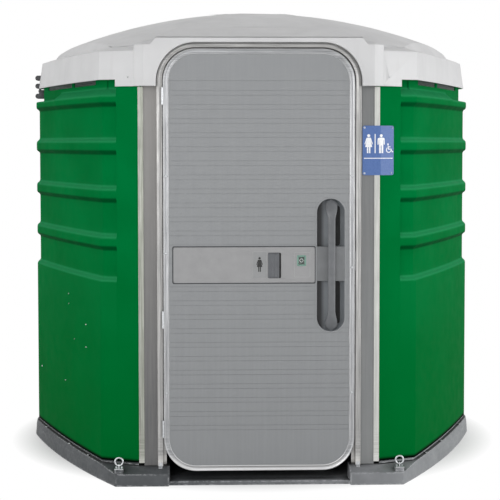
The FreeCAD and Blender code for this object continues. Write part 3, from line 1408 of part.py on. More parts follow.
def oval(width, length, z0, z1):
    """An oval block centred under the seat, long way front to rear."""
    ellipse = Part.Ellipse(V(0, 0, 0), length / 2, width / 2)
    face = Part.Face(Part.Wire(ellipse.toShape()))
    face.rotate(V(0, 0, 0), Z_AXIS, 90)
    face.translate(V(SEAT_X, seat_mid_y(), z0))
    return face.extrude(V(0, 0, z1 - z0))


def pin_z():
    return TANK_TOP + SEAT_PIN_UP


def hinge_arms(offset, z0, z1):
    """Two arms from the rear of the seat or lid to eyes on the hinge pin."""
    arms = []
    y0 = seat_mid_y() + SEAT_L / 2 - ARM_LAP
    for side in (-1, 1):
        x0 = SEAT_X + side * offset - ARM_W / 2
        arms.append(box(x0, x0 + ARM_W, y0, SEAT_PIN_Y, z0, z1))
        arms.append(cyl(V(x0, SEAT_PIN_Y, pin_z()), X_AXIS, SEAT_EYE_R, ARM_W))
    return arms


def pin_bore():
    return cyl(V(SEAT_X - HINGE_POST_X * 2, SEAT_PIN_Y, pin_z()), X_AXIS, SEAT_PIN_R + PIN_CLEAR,
               HINGE_POST_X * 4)


def toilet_seat():
    z0 = TANK_TOP + BUMPER_H + FIT_GAP
    z1 = z0 + SEAT_T
    ring = oval(SEAT_W, SEAT_L, z0, z1)
    ring = ring.makeFillet(6, [e for e in ring.Edges if e.CenterOfMass.z > z1 - 0.1])
    ring = ring.cut(oval(SEAT_W - 2 * SEAT_RIM, SEAT_L - 2 * SEAT_RIM, z0 - 1, z1 + 1))
    pads = []
    for side in (-1, 1):
        for y in SEAT_PAD_YS:
            pad_x = SEAT_X + side * (SEAT_W / 2 - SEAT_RIM / 2 - SEAT_PAD_IN)
            pads.append(cyl(V(pad_x, seat_mid_y() + y, TANK_TOP + FIT_GAP), Z_AXIS, SEAT_PAD_R, BUMPER_H + 1))
    return fuse([ring] + pads + hinge_arms(SEAT_ARM_X, z0 + 4, z1 - 2)).cut(pin_bore())


def seat_lid():
    """Lid, standing open at rest."""
    z0 = TANK_TOP + BUMPER_H + FIT_GAP + SEAT_T + 2
    width = SEAT_W + LID_OVER
    plate = oval(width, SEAT_L + LID_OVER, z0, z0 + LID_T)
    plate = plate.makeFillet(3, [e for e in plate.Edges if e.CenterOfMass.z > z0 + LID_T - 0.1])
    behind = box(SEAT_X - width, SEAT_X + width, SEAT_PIN_Y - SEAT_EYE_R - 3, SEAT_PIN_Y + SEAT_L, z0 - 1,
                 z0 + LID_T + 1)
    lid = fuse([plate.cut(behind)] + hinge_arms(LID_ARM_X, z0, z0 + LID_T)).cut(pin_bore())
    lid.rotate(V(0, SEAT_PIN_Y, pin_z()), X_AXIS, -LID_OPEN)
    return lid


def seat_hinge_posts():
    posts = []
    for side in (-1, 1):
        x0 = SEAT_X + side * HINGE_POST_X - ARM_W / 2
        base = box(x0, x0 + ARM_W, SEAT_PIN_Y - SEAT_EYE_R, SEAT_PIN_Y + SEAT_EYE_R, TANK_TOP, pin_z())
        eye = cyl(V(x0, SEAT_PIN_Y, pin_z()), X_AXIS, SEAT_EYE_R, ARM_W)
        bore = cyl(V(x0 - 1, SEAT_PIN_Y, pin_z()), X_AXIS, SEAT_PIN_R, ARM_W + 2)
        posts.append(fuse([base, eye]).cut(bore))
    return group(posts)


def seat_hinge_pin():
    half = HINGE_POST_X + ARM_W / 2
    return cyl(V(SEAT_X - half, SEAT_PIN_Y, pin_z()), X_AXIS, SEAT_PIN_R, 2 * half)


def vent_pipe():
    outer = cyl(V(PIPE_X, PIPE_Y, TANK_TOP), Z_AXIS, PIPE_R, PIPE_TOP - TANK_TOP)
    return outer.cut(cyl(V(PIPE_X, PIPE_Y, TANK_TOP - 1), Z_AXIS, PIPE_R - PIPE_T, PIPE_TOP - TANK_TOP + 2))


def vent_cap():
    """Rain cap on three legs that push into the pipe."""
    plate = cyl(V(PIPE_X, PIPE_Y, PIPE_TOP + CAP_H), Z_AXIS, CAP_R, 4)
    top = Part.makeCone(CAP_R, CAP_R * 0.35, 10, V(PIPE_X, PIPE_Y, PIPE_TOP + CAP_H + 4), Z_AXIS)
    inner_r = PIPE_R - PIPE_T
    legs = []
    for index in range(3):
        leg = box(PIPE_X + inner_r - CAP_LEG_T, PIPE_X + PIPE_R, PIPE_Y - 8, PIPE_Y + 8, PIPE_TOP - CAP_LEG,
                  PIPE_TOP + CAP_H)
        leg.rotate(V(PIPE_X, PIPE_Y, 0), Z_AXIS, 120 * index)
        legs.append(leg)
    bore = cyl(V(PIPE_X, PIPE_Y, PIPE_TOP - CAP_LEG), Z_AXIS, inner_r - PIN_CLEAR, CAP_LEG + CAP_H)
    return fuse([plate, top] + [leg.common(bore) for leg in legs])


def room_left(d):
    """The room inside the left wall at offset d."""
    return flip_x(solid_between(WALLS, d, WALL_BOTTOM, PLAIN_TOP, 0.0))


def grab_bar_side():
    """Bar along the left wall; its two ends turn out to the wall."""
    y0 = GRAB_Y0
    y1 = GRAB_Y1
    path = tube_path([(-WALL_HALF, y0, GRAB_Z), (GRAB_X, y0, GRAB_Z), (GRAB_X, y1, GRAB_Z),
                      (-WALL_HALF, y1, GRAB_Z)], GRAB_BEND)
    bar = tube(path, GRAB_R).common(room_left(WALL_T))
    flanges = ring_between(WALLS, WALL_T, WALL_T + FLANGE_T, GRAB_Z - FLANGE_R, GRAB_Z + FLANGE_R,
                           ("facet", 20.0))
    flanges = flip_x(flanges).cut(wall_rivet_holes())
    pieces = [bar]
    for y in (y0, y1):
        pieces.append(flanges.common(cyl(V(-WALL_HALF, y, GRAB_Z), X_AXIS, FLANGE_R, WALL_HALF)))
    return fuse(pieces)


def grab_bar_rear():
    wall_y = WALL_FRONT - WALL_T
    path = tube_path([(REAR_BAR_X0, wall_y, REAR_BAR_Z), (REAR_BAR_X0, REAR_BAR_Y, REAR_BAR_Z),
                      (REAR_BAR_X1, REAR_BAR_Y, REAR_BAR_Z), (REAR_BAR_X1, wall_y, REAR_BAR_Z)], GRAB_BEND)
    pieces = [tube(path, GRAB_R)]
    for x in (REAR_BAR_X0, REAR_BAR_X1):
        pieces.append(cyl(V(x, wall_y - FLANGE_T, REAR_BAR_Z), Y_AXIS, FLANGE_R, FLANGE_T))
    return fuse(pieces)


def on_left_wall(shape, y, d):
    """Carry a shape drawn with +X along the wall and +Y into the room to the left wall at y."""
    point, normal = WALLS.bow_point(y, d)
    angle = math.degrees(math.atan2(normal.y, normal.x))
    turned = shape.copy()
    turned.rotate(V(0, 0, 0), Z_AXIS, -(angle + 90.0))
    turned.translate(V(-point.x, point.y, 0))
    return turned


def paper_bracket():
    half = PAPER_W / 2
    z0 = PAPER_Z - PAPER_H / 2
    plate = box(-half, half, 0, PAPER_T, z0, z0 + PAPER_H)
    arms = []
    for side in (-1, 1):
        x0 = side * half
        arms.append(box(x0, x0 - side * PAPER_T, 0, PAPER_ARM, PAPER_Z - 25, PAPER_Z + 25))
    body = fuse([plate] + arms)
    body = body.cut(cyl(V(-half - 1, SPINDLE_OUT, PAPER_Z), X_AXIS, SPINDLE_R, PAPER_W + 2))
    return on_left_wall(body, PAPER_Y, WALL_T + PAPER_SET)


def paper_spindle():
    half = PAPER_W / 2 + 4
    return on_left_wall(cyl(V(-half, SPINDLE_OUT, PAPER_Z), X_AXIS, SPINDLE_R, 2 * half), PAPER_Y,
                        WALL_T + PAPER_SET)


def paper_roll(side):
    """A roll that turns on the spindle."""
    x0 = side * (ROLL_GAP / 2 + ROLL_W / 2) - ROLL_W / 2
    outer = cyl(V(x0, SPINDLE_OUT, PAPER_Z), X_AXIS, ROLL_R, ROLL_W)
    core = cyl(V(x0 - 1, SPINDLE_OUT, PAPER_Z), X_AXIS, SPINDLE_R + PIN_CLEAR, ROLL_W + 2)
    return on_left_wall(outer.cut(core), PAPER_Y, WALL_T + PAPER_SET)


def wall_rivet_places():
    """Rivets of the inside fittings that show on the left wall."""
    places = []
    for y, z in WALL_RIVETS:
        point, normal = WALLS.bow_point(y)
        places.append((V(-point.x, point.y, z), V(-normal.x, normal.y, 0)))
    return places


WALL_RIVET_GRIP = WALL_T + PAPER_SET + PAPER_T


def wall_rivet_holes():
    return [rivet_hole(p, out, WALL_RIVET_GRIP) for p, out in wall_rivet_places()]


def main():
    """Build every node and write it."""
    nodes = {}
    roof_places = roof_rivet_places()
    roof_holes = [rivet_hole(p, out, ROOF_RIVET_GRIP) for p, out in roof_places]
    sign_places = sign_rivet_places()
    sign_holes = [rivet_hole(p, out, grip) for p, out, grip in sign_places]
    wall_places = wall_rivet_places()
    wall_holes = wall_rivet_holes()
    right = side_wall()
    nodes["base_tray"] = base_tray()
    nodes["base_bolts"] = base_bolts()
    nodes["left_wall"] = flip_x(right).cut(roof_holes + wall_holes)
    nodes["right_wall"] = right.cut(roof_holes + sign_holes)
    nodes["rear_wall"] = rear_wall()
    nodes["vent_screens"] = vent_screens()
    nodes["front_strip_right"] = front_strip()
    nodes["front_strip_left"] = flip_x(front_strip())
    nodes["rear_strip_right"] = rear_strip()
    nodes["rear_strip_left"] = flip_x(rear_strip())
    post = jamb_post()
    nodes["jamb_post_right"] = post.cut(sign_holes)
    nodes["jamb_post_left"] = flip_x(post)
    nodes["header_panel"] = header_panel()
    frame_left, frame_right, frame_head = door_frame()
    nodes["door_frame_left"] = frame_left
    nodes["door_frame_right"] = frame_right
    nodes["door_frame_head"] = frame_head
    nodes["frame_foot_brackets"] = foot_brackets()
    nodes["strike_plate"] = strike_plate()
    nodes["roof"] = roof()
    nodes["roof_rivets"] = group([rivet(p, out, ROOF_RIVET_GRIP) for p, out in roof_places])
    lift_bolts = lift_bracket_bolts()
    nodes["lift_bracket"] = lift_bracket().cut(lift_bolts)
    nodes["lift_bracket_bolts"] = lift_bolts
    nodes["sign_plate"] = sign_plate()
    nodes["sign_rivets"] = group([rivet(p, out, grip) for p, out, grip in sign_places])
    nodes["wall_rivets"] = group([rivet(p, out, WALL_RIVET_GRIP) for p, out in wall_places])
    plate = tie_down_plate()
    nodes["tie_down_plates"] = group(both_sides(plate))
    nodes["tie_down_ring_right"] = tie_down_ring()
    nodes["tie_down_ring_left"] = flip_x(tie_down_ring())
    trim_places = trim_rivets()
    trim_holes = [rivet_hole(p, out, TRIM_T + SKIN_T) for p, out in trim_places]
    nodes["door_front_panel"] = door_front_panel().cut(trim_holes)
    nodes["door_back_panel"] = door_back_panel()
    nodes["door_edge_trim"] = edge_trim().cut(trim_holes)
    nodes["trim_rivets"] = group([rivet(p, out, TRIM_T + SKIN_T) for p, out in trim_places])
    nodes["latch_plate"] = latch_plate()
    nodes["symbol_tile"] = symbol_tile()
    nodes["indicator_window"] = indicator_window()
    nodes["bolt_cover"] = bolt_cover()
    nodes["pull_handle"] = pull_handle()
    nodes["inner_pull_handle"] = inner_pull_handle()
    nodes["latch_housing"] = latch_housing()
    nodes["coat_hook"] = coat_hook()
    nodes["hinge_door_leaves"] = hinge_door_leaves()
    nodes["hinge_frame_leaves"] = hinge_frame_leaves()
    nodes["hinge_pins"] = hinge_pins()
    nodes["latch_bolt"] = latch_bolt()
    nodes["latch_knob"] = latch_knob()
    nodes["occupancy_flag"] = occupancy_flag()
    nodes["waste_tank"] = waste_tank()
    nodes["toilet_seat"] = toilet_seat()
    nodes["seat_lid"] = seat_lid()
    nodes["seat_hinge_posts"] = seat_hinge_posts()
    nodes["seat_hinge_pin"] = seat_hinge_pin()
    nodes["vent_pipe"] = vent_pipe()
    nodes["vent_cap"] = vent_cap()
    nodes["grab_bar_side"] = grab_bar_side()
    nodes["grab_bar_rear"] = grab_bar_rear()
    nodes["paper_bracket"] = paper_bracket().cut(wall_holes)
    nodes["paper_spindle"] = paper_spindle()
    nodes["paper_roll_1"] = paper_roll(-1)
    nodes["paper_roll_2"] = paper_roll(1)
    os.makedirs("parts", exist_ok=True)
    for name, shape in nodes.items():
        shape.exportStep("parts/%s.step" % name)
        print("%-22s solids %2d  volume %12.0f  valid %s" % (name, len(shape.Solids), shape.Volume,
                                                             shape.isValid()))


main()
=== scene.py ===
import json
import math

import bmesh
import bpy
from mathutils import Matrix, Vector

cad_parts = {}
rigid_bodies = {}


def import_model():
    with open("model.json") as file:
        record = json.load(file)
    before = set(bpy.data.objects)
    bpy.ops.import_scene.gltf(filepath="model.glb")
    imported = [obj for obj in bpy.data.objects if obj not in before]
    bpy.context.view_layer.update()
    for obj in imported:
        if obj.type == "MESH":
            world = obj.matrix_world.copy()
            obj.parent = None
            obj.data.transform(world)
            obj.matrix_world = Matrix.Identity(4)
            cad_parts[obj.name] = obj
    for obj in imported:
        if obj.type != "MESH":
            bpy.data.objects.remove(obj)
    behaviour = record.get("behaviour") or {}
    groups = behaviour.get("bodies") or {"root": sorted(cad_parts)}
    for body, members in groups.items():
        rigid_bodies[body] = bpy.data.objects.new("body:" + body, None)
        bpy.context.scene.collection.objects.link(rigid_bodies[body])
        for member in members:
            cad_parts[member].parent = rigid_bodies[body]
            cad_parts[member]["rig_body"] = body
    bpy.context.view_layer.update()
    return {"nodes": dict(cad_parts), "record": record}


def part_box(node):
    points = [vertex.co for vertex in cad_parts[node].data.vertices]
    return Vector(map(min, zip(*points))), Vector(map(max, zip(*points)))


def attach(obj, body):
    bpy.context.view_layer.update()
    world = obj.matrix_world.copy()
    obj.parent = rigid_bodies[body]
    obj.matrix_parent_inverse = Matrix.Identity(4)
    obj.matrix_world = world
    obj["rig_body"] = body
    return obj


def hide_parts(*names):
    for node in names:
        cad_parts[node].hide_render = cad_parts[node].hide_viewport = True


bl_info = {
    "name": "Portable Toilet Cabin",
    "version": (1, 0, 0),
    "blender": (4, 5, 0),
    "location": "3D View > Sidebar > Cabin",
    "description": "Finishes of a portable toilet cabin on its packed frame",
    "category": "Object",
}

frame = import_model()
NODES = frame["nodes"]
MM = 0.001

# Walls, in millimetres, as the frame has them
WALL_HALF = 1165.0
WALL_FRONT = 1101.0
RETURN_X = 541.0
FACET_X = 562.0
CREASE_X = 738.0
CREASE_Y = 1030.0
BOW_R = 8600.0
ROUND_R = 200.0
WALL_BOTTOM = 92.0
WALL_TOP = 2000.0
POCKET_X = 662.0
POCKET_DEPTH = 17.0
POCKET_SLOPE_LOW = 14.0
POCKET_SLOPE_HIGH = 11.0
RIB_Z = 1764.0
RIB_PITCH = 223.3
RIB_FACE = 46.0
RIB_COUNT = 4
PLAIN_TOP = 938.0
RECESS_Z = 1800.0
RECESS_RISE = 33.0
RECESS_DEPTH = 41.0
STEP_HALF = 400.0
NECK_Z = 1895.0
NECK_DEPTH = 12.0
SLOT_Z = 1855.0
SLOT_H = 35.0
SLOT_SPANS = ((150.0, 570.0), (600.0, 890.0))
REAR_HALF = 535.0
REAR_POCKET_HALF = 470.0

# Door and its fittings, in millimetres
DOOR_FRONT = -1116.0
SKIN_Y = -1114.0
LEAF_HALF = 443.0
LEAF_BOTTOM = 55.0
LEAF_TOP = 2012.0
LEAF_R = 150.0
TRIM_W = 26.0
TRIM_DEPTH = 40.0
FRAME_HALF = 471.5
FRAME_BOTTOM = 80.0
FRAME_TOP = 2041.5
FRAME_JOINT = 1850.0
FRAME_R = 178.5
FRAME_W = 24.0
FRAME_DEPTH = 50.0
BOLT_Z = 1035.0
BOLT_Y = -1098.0
BOLT_HALF_H = 10.0
BOLT_HALF_T = 6.0
PULL_X = 331.0
PULL_LOW = 705.0
PULL_HIGH = 1322.0
PULL_HALF = 64.0
PULL_FLOOR = -1090.0
TILE_X = 2.5
TILE_Z = 1016.0
WINDOW_X = 195.5
THUMB_X = 70.0
THUMB_Z = 1013.0
THUMB_W = 62.0
THUMB_H = 120.0
GAP_W = 5.0                # of the painted shadow band round the latch plate

# Camera, as the photograph was taken
CAMERA_AT = (-0.2139, -7.2372, 1.5785)
CAMERA_PITCH = 0.047
CAMERA_YAW = 0.028
CAMERA_ROLL = 0.001
CAMERA_LENS = 95.7
CAMERA_SHIFT = -0.0888


def linear(code):
    """A hex colour as it is seen on a screen, turned to the linear values that the shaders want."""
    parts = [int(code[i:i + 2], 16) / 255 for i in (1, 3, 5)]
    return tuple(c / 12.92 if c <= 0.04045 else ((c + 0.055) / 1.055) ** 2.4 for c in parts)


def rgba(code):
    return (*linear(code), 1.0)


def add_node(tree, kind, settings=None, inputs=None):
    """One node with its settings, values and links. An input is a value or another node's socket."""
    made = tree.nodes.new(kind)
    for key, value in (settings or {}).items():
        setattr(made, key, value)
    for key, value in (inputs or {}).items():
        if isinstance(value, bpy.types.NodeSocket):
            tree.links.new(value, made.inputs[key])
        else:
            made.inputs[key].default_value = value
    return made


class Finish:
    """A material under way: its tree, its shader and the object coordinates its patterns follow."""

    def __init__(self, name, roughness, metallic=0.0, **sockets):
        self.material = bpy.data.materials.new(name)
        self.material.use_nodes = True
        self.tree = self.material.node_tree
        self.tree.nodes.clear()
        self.shader = self.node("ShaderNodeBsdfPrincipled", inputs={"Metallic": metallic,
                                                                     "Roughness": roughness, **sockets})
        self.node("ShaderNodeOutputMaterial", inputs={"Surface": self.shader.outputs[0]})
        self.at = self.node("ShaderNodeTexCoord").outputs["Object"]

    def node(self, kind, settings=None, inputs=None):
        return add_node(self.tree, kind, settings, inputs)

    def noise(self, size_mm, detail=2.0, stretch=(1.0, 1.0, 1.0), seed=0.0):
        """Noise whose blotches are about size_mm across, drawn out along the axes by stretch."""
        place = self.node("ShaderNodeMapping", inputs={"Vector": self.at, "Location": (seed, seed, seed),
                                                       "Scale": tuple(1.0 / s for s in stretch)})
        made = self.node("ShaderNodeTexNoise", inputs={"Vector": place.outputs[0],
                                                       "Scale": 1.0 / (size_mm * MM), "Detail": detail})
        return made.outputs["Fac"]

    def ramp(self, value, low, high, low_out=0.0, high_out=1.0):
        made = self.node("ShaderNodeMapRange", inputs={"Value": value, "From Min": low, "From Max": high,
                                                       "To Min": low_out, "To Max": high_out})
        return made.outputs[0]

    def maths(self, kind, a, b=0.0):
        made = self.node("ShaderNodeMath", {"operation": kind}, {0: a, 1: b})
        return made.outputs[0]

    def mix(self, share, a, b):
        made = self.node("ShaderNodeMix", {"data_type": "RGBA"}, {"Factor": share, "A": a, "B": b})
        return made.outputs["Result"]

    def height(self):
        """Height above the ground in metres."""
        return self.node("ShaderNodeSeparateXYZ", inputs={0: self.at}).outputs["Z"]

    def colour(self, value):
        self.tree.links.new(value, self.shader.inputs["Base Color"])

    def rough(self, value):
        self.tree.links.new(value, self.shader.inputs["Roughness"])

    def bump(self, height, depth_mm, strength=1.0):
        under = self.shader.inputs["Normal"]
        inputs = {"Height": height, "Distance": depth_mm * MM, "Strength": strength}
        if under.is_linked:
            inputs["Normal"] = under.links[0].from_socket
        made = self.node("ShaderNodeBump", inputs=inputs)
        self.tree.links.new(made.outputs[0], under)


def thermoformed_polyethylene():
    """Green HDPE sheet, drawn over a mould: even deep colour, dull satin with a faint orange peel, a shade
    darker towards the foot, painted highlight on its ribs' upward ledges and painted shade under them, and a
    painted black shadow band where it meets the tray."""
    f = Finish("thermoformed_green_hdpe", 0.45, IOR=1.54)
    f.shader.inputs["Specular IOR Level"].default_value = 0.0015
    tone = f.ramp(f.noise(340, 2.0), 0.35, 0.65)
    body = f.mix(tone, rgba("#006f34"), rgba("#00773a"))
    body = f.mix(f.ramp(f.height(), 1.3, 0.2, 0.0, 0.8), body, rgba("#006628"))
    flat = f.node("ShaderNodeNewGeometry").outputs["Normal"]
    upward = f.node("ShaderNodeSeparateXYZ", inputs={0: flat}).outputs["Z"]
    # painted highlight on upward faces and painted shade on downward faces of the ribs
    body = f.mix(f.ramp(upward, 0.04, 0.4, 0.0, 0.6), body, rgba("#2f9a63"))
    body = f.mix(f.ramp(upward, -0.04, -0.4, 0.0, 0.7), body, rgba("#00381a"))
    # painted black shadow band along the foot, where the wall meets the tray
    f.colour(f.mix(f.ramp(f.height(), 0.112, 0.1), body, rgba("#05110a")))
    f.rough(f.ramp(f.noise(60, 3.0), 0.3, 0.7, 0.42, 0.55))
    f.bump(f.noise(9, 2.0), 0.25, 0.35)
    return f.material


def translucent_roof_polyethylene():
    """Pale grey HDPE roof sheet: milky, a little light goes into it, satin, with faint rain streaks."""
    f = Finish("thermoformed_pale_hdpe", 0.45, IOR=1.54)
    f.shader.inputs["Subsurface Weight"].default_value = 0.06
    f.shader.inputs["Subsurface Radius"].default_value = (0.02, 0.02, 0.02)
    f.shader.inputs["Subsurface Scale"].default_value = 0.5
    tone = f.ramp(f.noise(260, 3.0), 0.3, 0.7)
    body = f.mix(tone, rgba("#cdcdce"), rgba("#d7d7d8"))
    streak = f.ramp(f.noise(30, 3.0, (1.0, 1.0, 9.0)), 0.55, 0.8)
    f.colour(f.mix(f.maths("MULTIPLY", streak, 0.2), body, rgba("#b9b8b6")))
    f.rough(f.ramp(f.noise(80, 3.0), 0.3, 0.7, 0.4, 0.54))
    f.bump(f.noise(14, 2.0), 0.3, 0.3)
    return f.material


def rotomoulded_tray():
    """Dark grey rotomoulded polyethylene: grainy, with a paler tone on the right side as painted light, pale wear
    along its edges that is partly painted highlight, and painted black shade in the corners on top where it meets
    the walls."""
    f = Finish("rotomoulded_grey_pe", 0.62)
    tone = f.ramp(f.noise(120, 4.0), 0.3, 0.7)
    # painted light and shade: darker tone on the left side, paler tone on the right
    shaded = f.mix(tone, rgba("#3d4043"), rgba("#4d5053"))
    side_tone = f.mix(tone, rgba("#7f8184"), rgba("#8f9194"))
    across = f.node("ShaderNodeSeparateXYZ", inputs={0: f.at}).outputs["X"]
    body = f.mix(f.ramp(across, -0.4, 0.7), shaded, side_tone)
    geometry = f.node("ShaderNodeNewGeometry")
    flat = geometry.outputs["True Normal"]
    eased = f.node("ShaderNodeBevel", {"samples": 6}, {"Radius": 12 * MM}).outputs[0]
    along = f.node("ShaderNodeVectorMath", {"operation": "DOT_PRODUCT"}, {0: flat, 1: eased})
    edge = f.ramp(along.outputs["Value"], 0.99, 0.9)
    # pale wear on the rounded edges, partly a painted highlight along them
    wear_and_highlight = f.maths("MULTIPLY", edge, f.ramp(f.noise(16, 5.0), 0.42, 0.6))
    body = f.mix(f.maths("MULTIPLY", wear_and_highlight, 0.8), body, rgba("#b9bbbe"))
    # painted shade: black where corners close in, on upward faces beside the walls
    closed = f.node("ShaderNodeAmbientOcclusion", {"samples": 8}, {"Distance": 60 * MM})
    upward = f.node("ShaderNodeSeparateXYZ", inputs={0: flat}).outputs["Z"]
    painted_corner_shade = f.maths("MULTIPLY", f.ramp(closed.outputs["AO"], 0.95, 0.6), f.ramp(upward, 0.3, 0.8))
    f.colour(f.mix(painted_corner_shade, body, rgba("#08090a")))
    f.rough(f.ramp(f.noise(18, 4.0), 0.3, 0.7, 0.52, 0.72))
    f.bump(f.noise(2.6, 3.0), 0.3, 0.5)
    return f.material


def extruded_aluminium(name, shade, roughness):
    """Mill-finish aluminium section: die lines and streaks along its length, handling marks, a painted highlight
    that makes the rounded lips brighter than the flat face, and a painted reflection of the floor near its foot."""
    f = Finish(name, roughness, 1.0)
    ends = f.maths("ABSOLUTE", f.maths("SUBTRACT", f.height(), 1.05))
    level_run = f.ramp(ends, 0.78, 0.9)
    lines = f.mix(level_run, f.noise(1.6, 2.0, UPRIGHT), f.noise(1.6, 2.0, ACROSS))
    blotch = f.noise(70, 4.0)
    tone = f.mix(level_run, f.noise(5.5, 3.0, UPRIGHT), f.noise(5.5, 3.0, ACROSS))
    tone = f.ramp(tone, 0.36, 0.66)
    body = f.mix(tone, rgba(shade[0]), rgba(shade[1]))
    normal = f.node("ShaderNodeTexCoord").outputs["Normal"]
    level = f.maths("ABSOLUTE", f.node("ShaderNodeSeparateXYZ", inputs={0: normal}).outputs["Y"])
    # painted highlight: faces turned away from the front take the brightest shade
    body = f.mix(f.ramp(level, 0.8, 0.99, 0.75, 0.0), body, rgba(shade[3]))
    body = f.mix(f.ramp(lines, 0.3, 0.7, 0.0, 0.45), body, rgba(shade[2]))
    # painted reflection of the pale floor: the brightest shade near the foot
    f.colour(f.mix(f.ramp(f.height(), 0.14, 0.1, 0.0, 0.7), body, rgba(shade[3])))
    f.rough(f.ramp(blotch, 0.3, 0.7, roughness - 0.06, roughness + 0.1))
    f.bump(lines, 0.04, 0.5)
    return f.material


def post_plastic():
    """Taupe pultruded door post: flat, slightly streaked, and darker towards the foot on the hinge side."""
    f = Finish("pultruded_taupe_post", 0.5)
    sides = f.node("ShaderNodeSeparateXYZ", inputs={0: f.at}).outputs["X"]
    side_tone = f.mix(f.ramp(f.height(), 0.3, 1.7), rgba("#5b5b5c"), rgba("#8e8c8a"))
    right = f.mix(f.ramp(f.height(), 0.3, 1.7), rgba("#7c7e7f"), rgba("#717374"))
    body = f.mix(f.ramp(sides, -0.1, 0.1), side_tone, right)
    streak = f.ramp(f.noise(9, 3.0, (1.0, 1.0, 30.0)), 0.3, 0.7)
    body = f.mix(f.maths("MULTIPLY", streak, 0.16), body, rgba("#a3a19e"))
    cloud = f.ramp(f.noise(160, 3.0, (1.0, 1.0, 2.0)), 0.45, 0.75)
    f.colour(f.mix(f.maths("MULTIPLY", cloud, 0.2), body, rgba("#6b6a69")))
    f.rough(f.ramp(f.noise(40, 2.0), 0.3, 0.7, 0.44, 0.58))
    f.bump(f.noise(4, 2.0, (1.0, 1.0, 12.0)), 0.1, 0.4)
    return f.material


def grooved_door_skin():
    """Grey moulded door skin: matt, with faint upright brush marks from cleaning and a darker foot."""
    f = Finish("moulded_grey_door", 0.52)
    low = f.ramp(f.height(), 0.1, 1.5)
    body = f.mix(low, rgba("#86888a"), rgba("#8f9193"))
    streak = f.ramp(f.noise(11, 2.0, (1.0, 1.0, 30.0)), 0.35, 0.7)
    body = f.mix(f.maths("MULTIPLY", streak, 0.1), body, rgba("#a2a4a6"))
    mark = f.ramp(f.noise(22, 6.0, (3.0, 1.0, 1.0)), 0.66, 0.78)
    f.colour(f.mix(f.maths("MULTIPLY", mark, 0.1), body, rgba("#b6b7b8")))
    f.rough(f.ramp(f.noise(50, 3.0), 0.3, 0.7, 0.46, 0.6))
    f.bump(f.noise(1.8, 2.0), 0.08, 0.5)
    return f.material


def moulded_grey(name, dark, light, roughness):
    """Injection-moulded ABS part: fine spark-eroded grain and an even satin."""
    f = Finish(name, roughness)
    f.colour(f.mix(f.ramp(f.noise(45, 3.0), 0.3, 0.7), rgba(dark), rgba(light)))
    f.rough(f.ramp(f.noise(20, 3.0), 0.3, 0.7, roughness - 0.05, roughness + 0.07))
    f.bump(f.noise(1.2, 2.0), 0.05, 0.5)
    return f.material


def zinc_plated_steel():
    """Zinc plated steel: cool and bright, with small spangled patches."""
    f = Finish("zinc_plated_steel", 0.34, 1.0)
    cells = f.node("ShaderNodeTexVoronoi", inputs={"Vector": f.at, "Scale": 1.0 / (7 * MM)})
    f.colour(f.mix(cells.outputs["Distance"], rgba("#c9cbcd"), rgba("#a9abae")))
    f.rough(f.ramp(f.noise(12, 4.0), 0.3, 0.7, 0.26, 0.44))
    f.bump(f.noise(1.5, 2.0), 0.02, 0.4)
    return f.material


def stainless_tube():
    """Polished stainless grab bar: bright, with fine polishing lines round it."""
    f = Finish("polished_stainless", 0.24, 1.0)
    lines = f.noise(0.9, 2.0, (1.0, 8.0, 1.0))
    f.colour(f.mix(f.ramp(lines, 0.3, 0.7, 0.0, 0.4), rgba("#d5d6d6"), rgba("#b9bbbd")))
    f.rough(f.ramp(f.noise(30, 3.0), 0.3, 0.7, 0.18, 0.34))
    f.bump(lines, 0.01, 0.3)
    return f.material


def printed_sheet(name, dark, light, roughness=0.4):
    """Screen-printed plastic sheet: a flat colour with the slight mottle of the ink."""
    f = Finish(name, roughness)
    f.colour(f.mix(f.ramp(f.noise(5, 4.0), 0.35, 0.65), rgba(dark), rgba(light)))
    f.rough(f.ramp(f.noise(12, 2.0), 0.3, 0.7, roughness - 0.05, roughness + 0.08))
    f.bump(f.noise(1.0, 2.0), 0.03, 0.3)
    return f.material


def acrylic_pane():
    """Clear acrylic: lets the flag show through, with a few hair scratches."""
    f = Finish("clear_acrylic", 0.05, IOR=1.49)
    f.shader.inputs["Transmission Weight"].default_value = 1.0
    f.colour(f.mix(f.ramp(f.noise(8, 2.0), 0.3, 0.7), rgba("#f2f6f4"), rgba("#ffffff")))
    f.rough(f.ramp(f.noise(3, 5.0, (6.0, 1.0, 1.0)), 0.6, 0.8, 0.03, 0.2))
    return f.material


def tissue_paper():
    """Soft crepe tissue: white, dull, with fine creases round the roll."""
    f = Finish("crepe_tissue", 0.95)
    crepe = f.noise(1.4, 4.0, (3.0, 1.0, 1.0))
    f.colour(f.mix(crepe, rgba("#e9e7e1"), rgba("#f7f6f2")))
    f.bump(crepe, 0.25, 0.7)
    return f.material


def glossy_seat():
    """Compression-moulded white seat: smooth and glossy, a little worn on top."""
    f = Finish("moulded_white_seat", 0.22, IOR=1.5)
    f.colour(f.mix(f.ramp(f.noise(90, 3.0), 0.3, 0.7), rgba("#e3e2dd"), rgba("#eeede9")))
    f.rough(f.ramp(f.noise(25, 5.0), 0.4, 0.75, 0.18, 0.38))
    f.bump(f.noise(12, 2.0), 0.03, 0.3)
    return f.material


def shaded_pocket():
    """Grey plastic of the door's pocket, with painted shadow along its left side."""
    f = Finish("moulded_pocket_grey", 0.5)
    body = f.mix(f.ramp(f.noise(90, 3.0), 0.3, 0.7), rgba("#676b6f"), rgba("#74787c"))
    across = f.node("ShaderNodeSeparateXYZ", inputs={0: f.at}).outputs["X"]
    # painted shadow: dark along the pocket's left inner wall
    f.colour(f.mix(f.ramp(across, 0.286, 0.304), rgba("#141518"), body))
    f.bump(f.noise(3, 2.0), 0.1, 0.3)
    return f.material


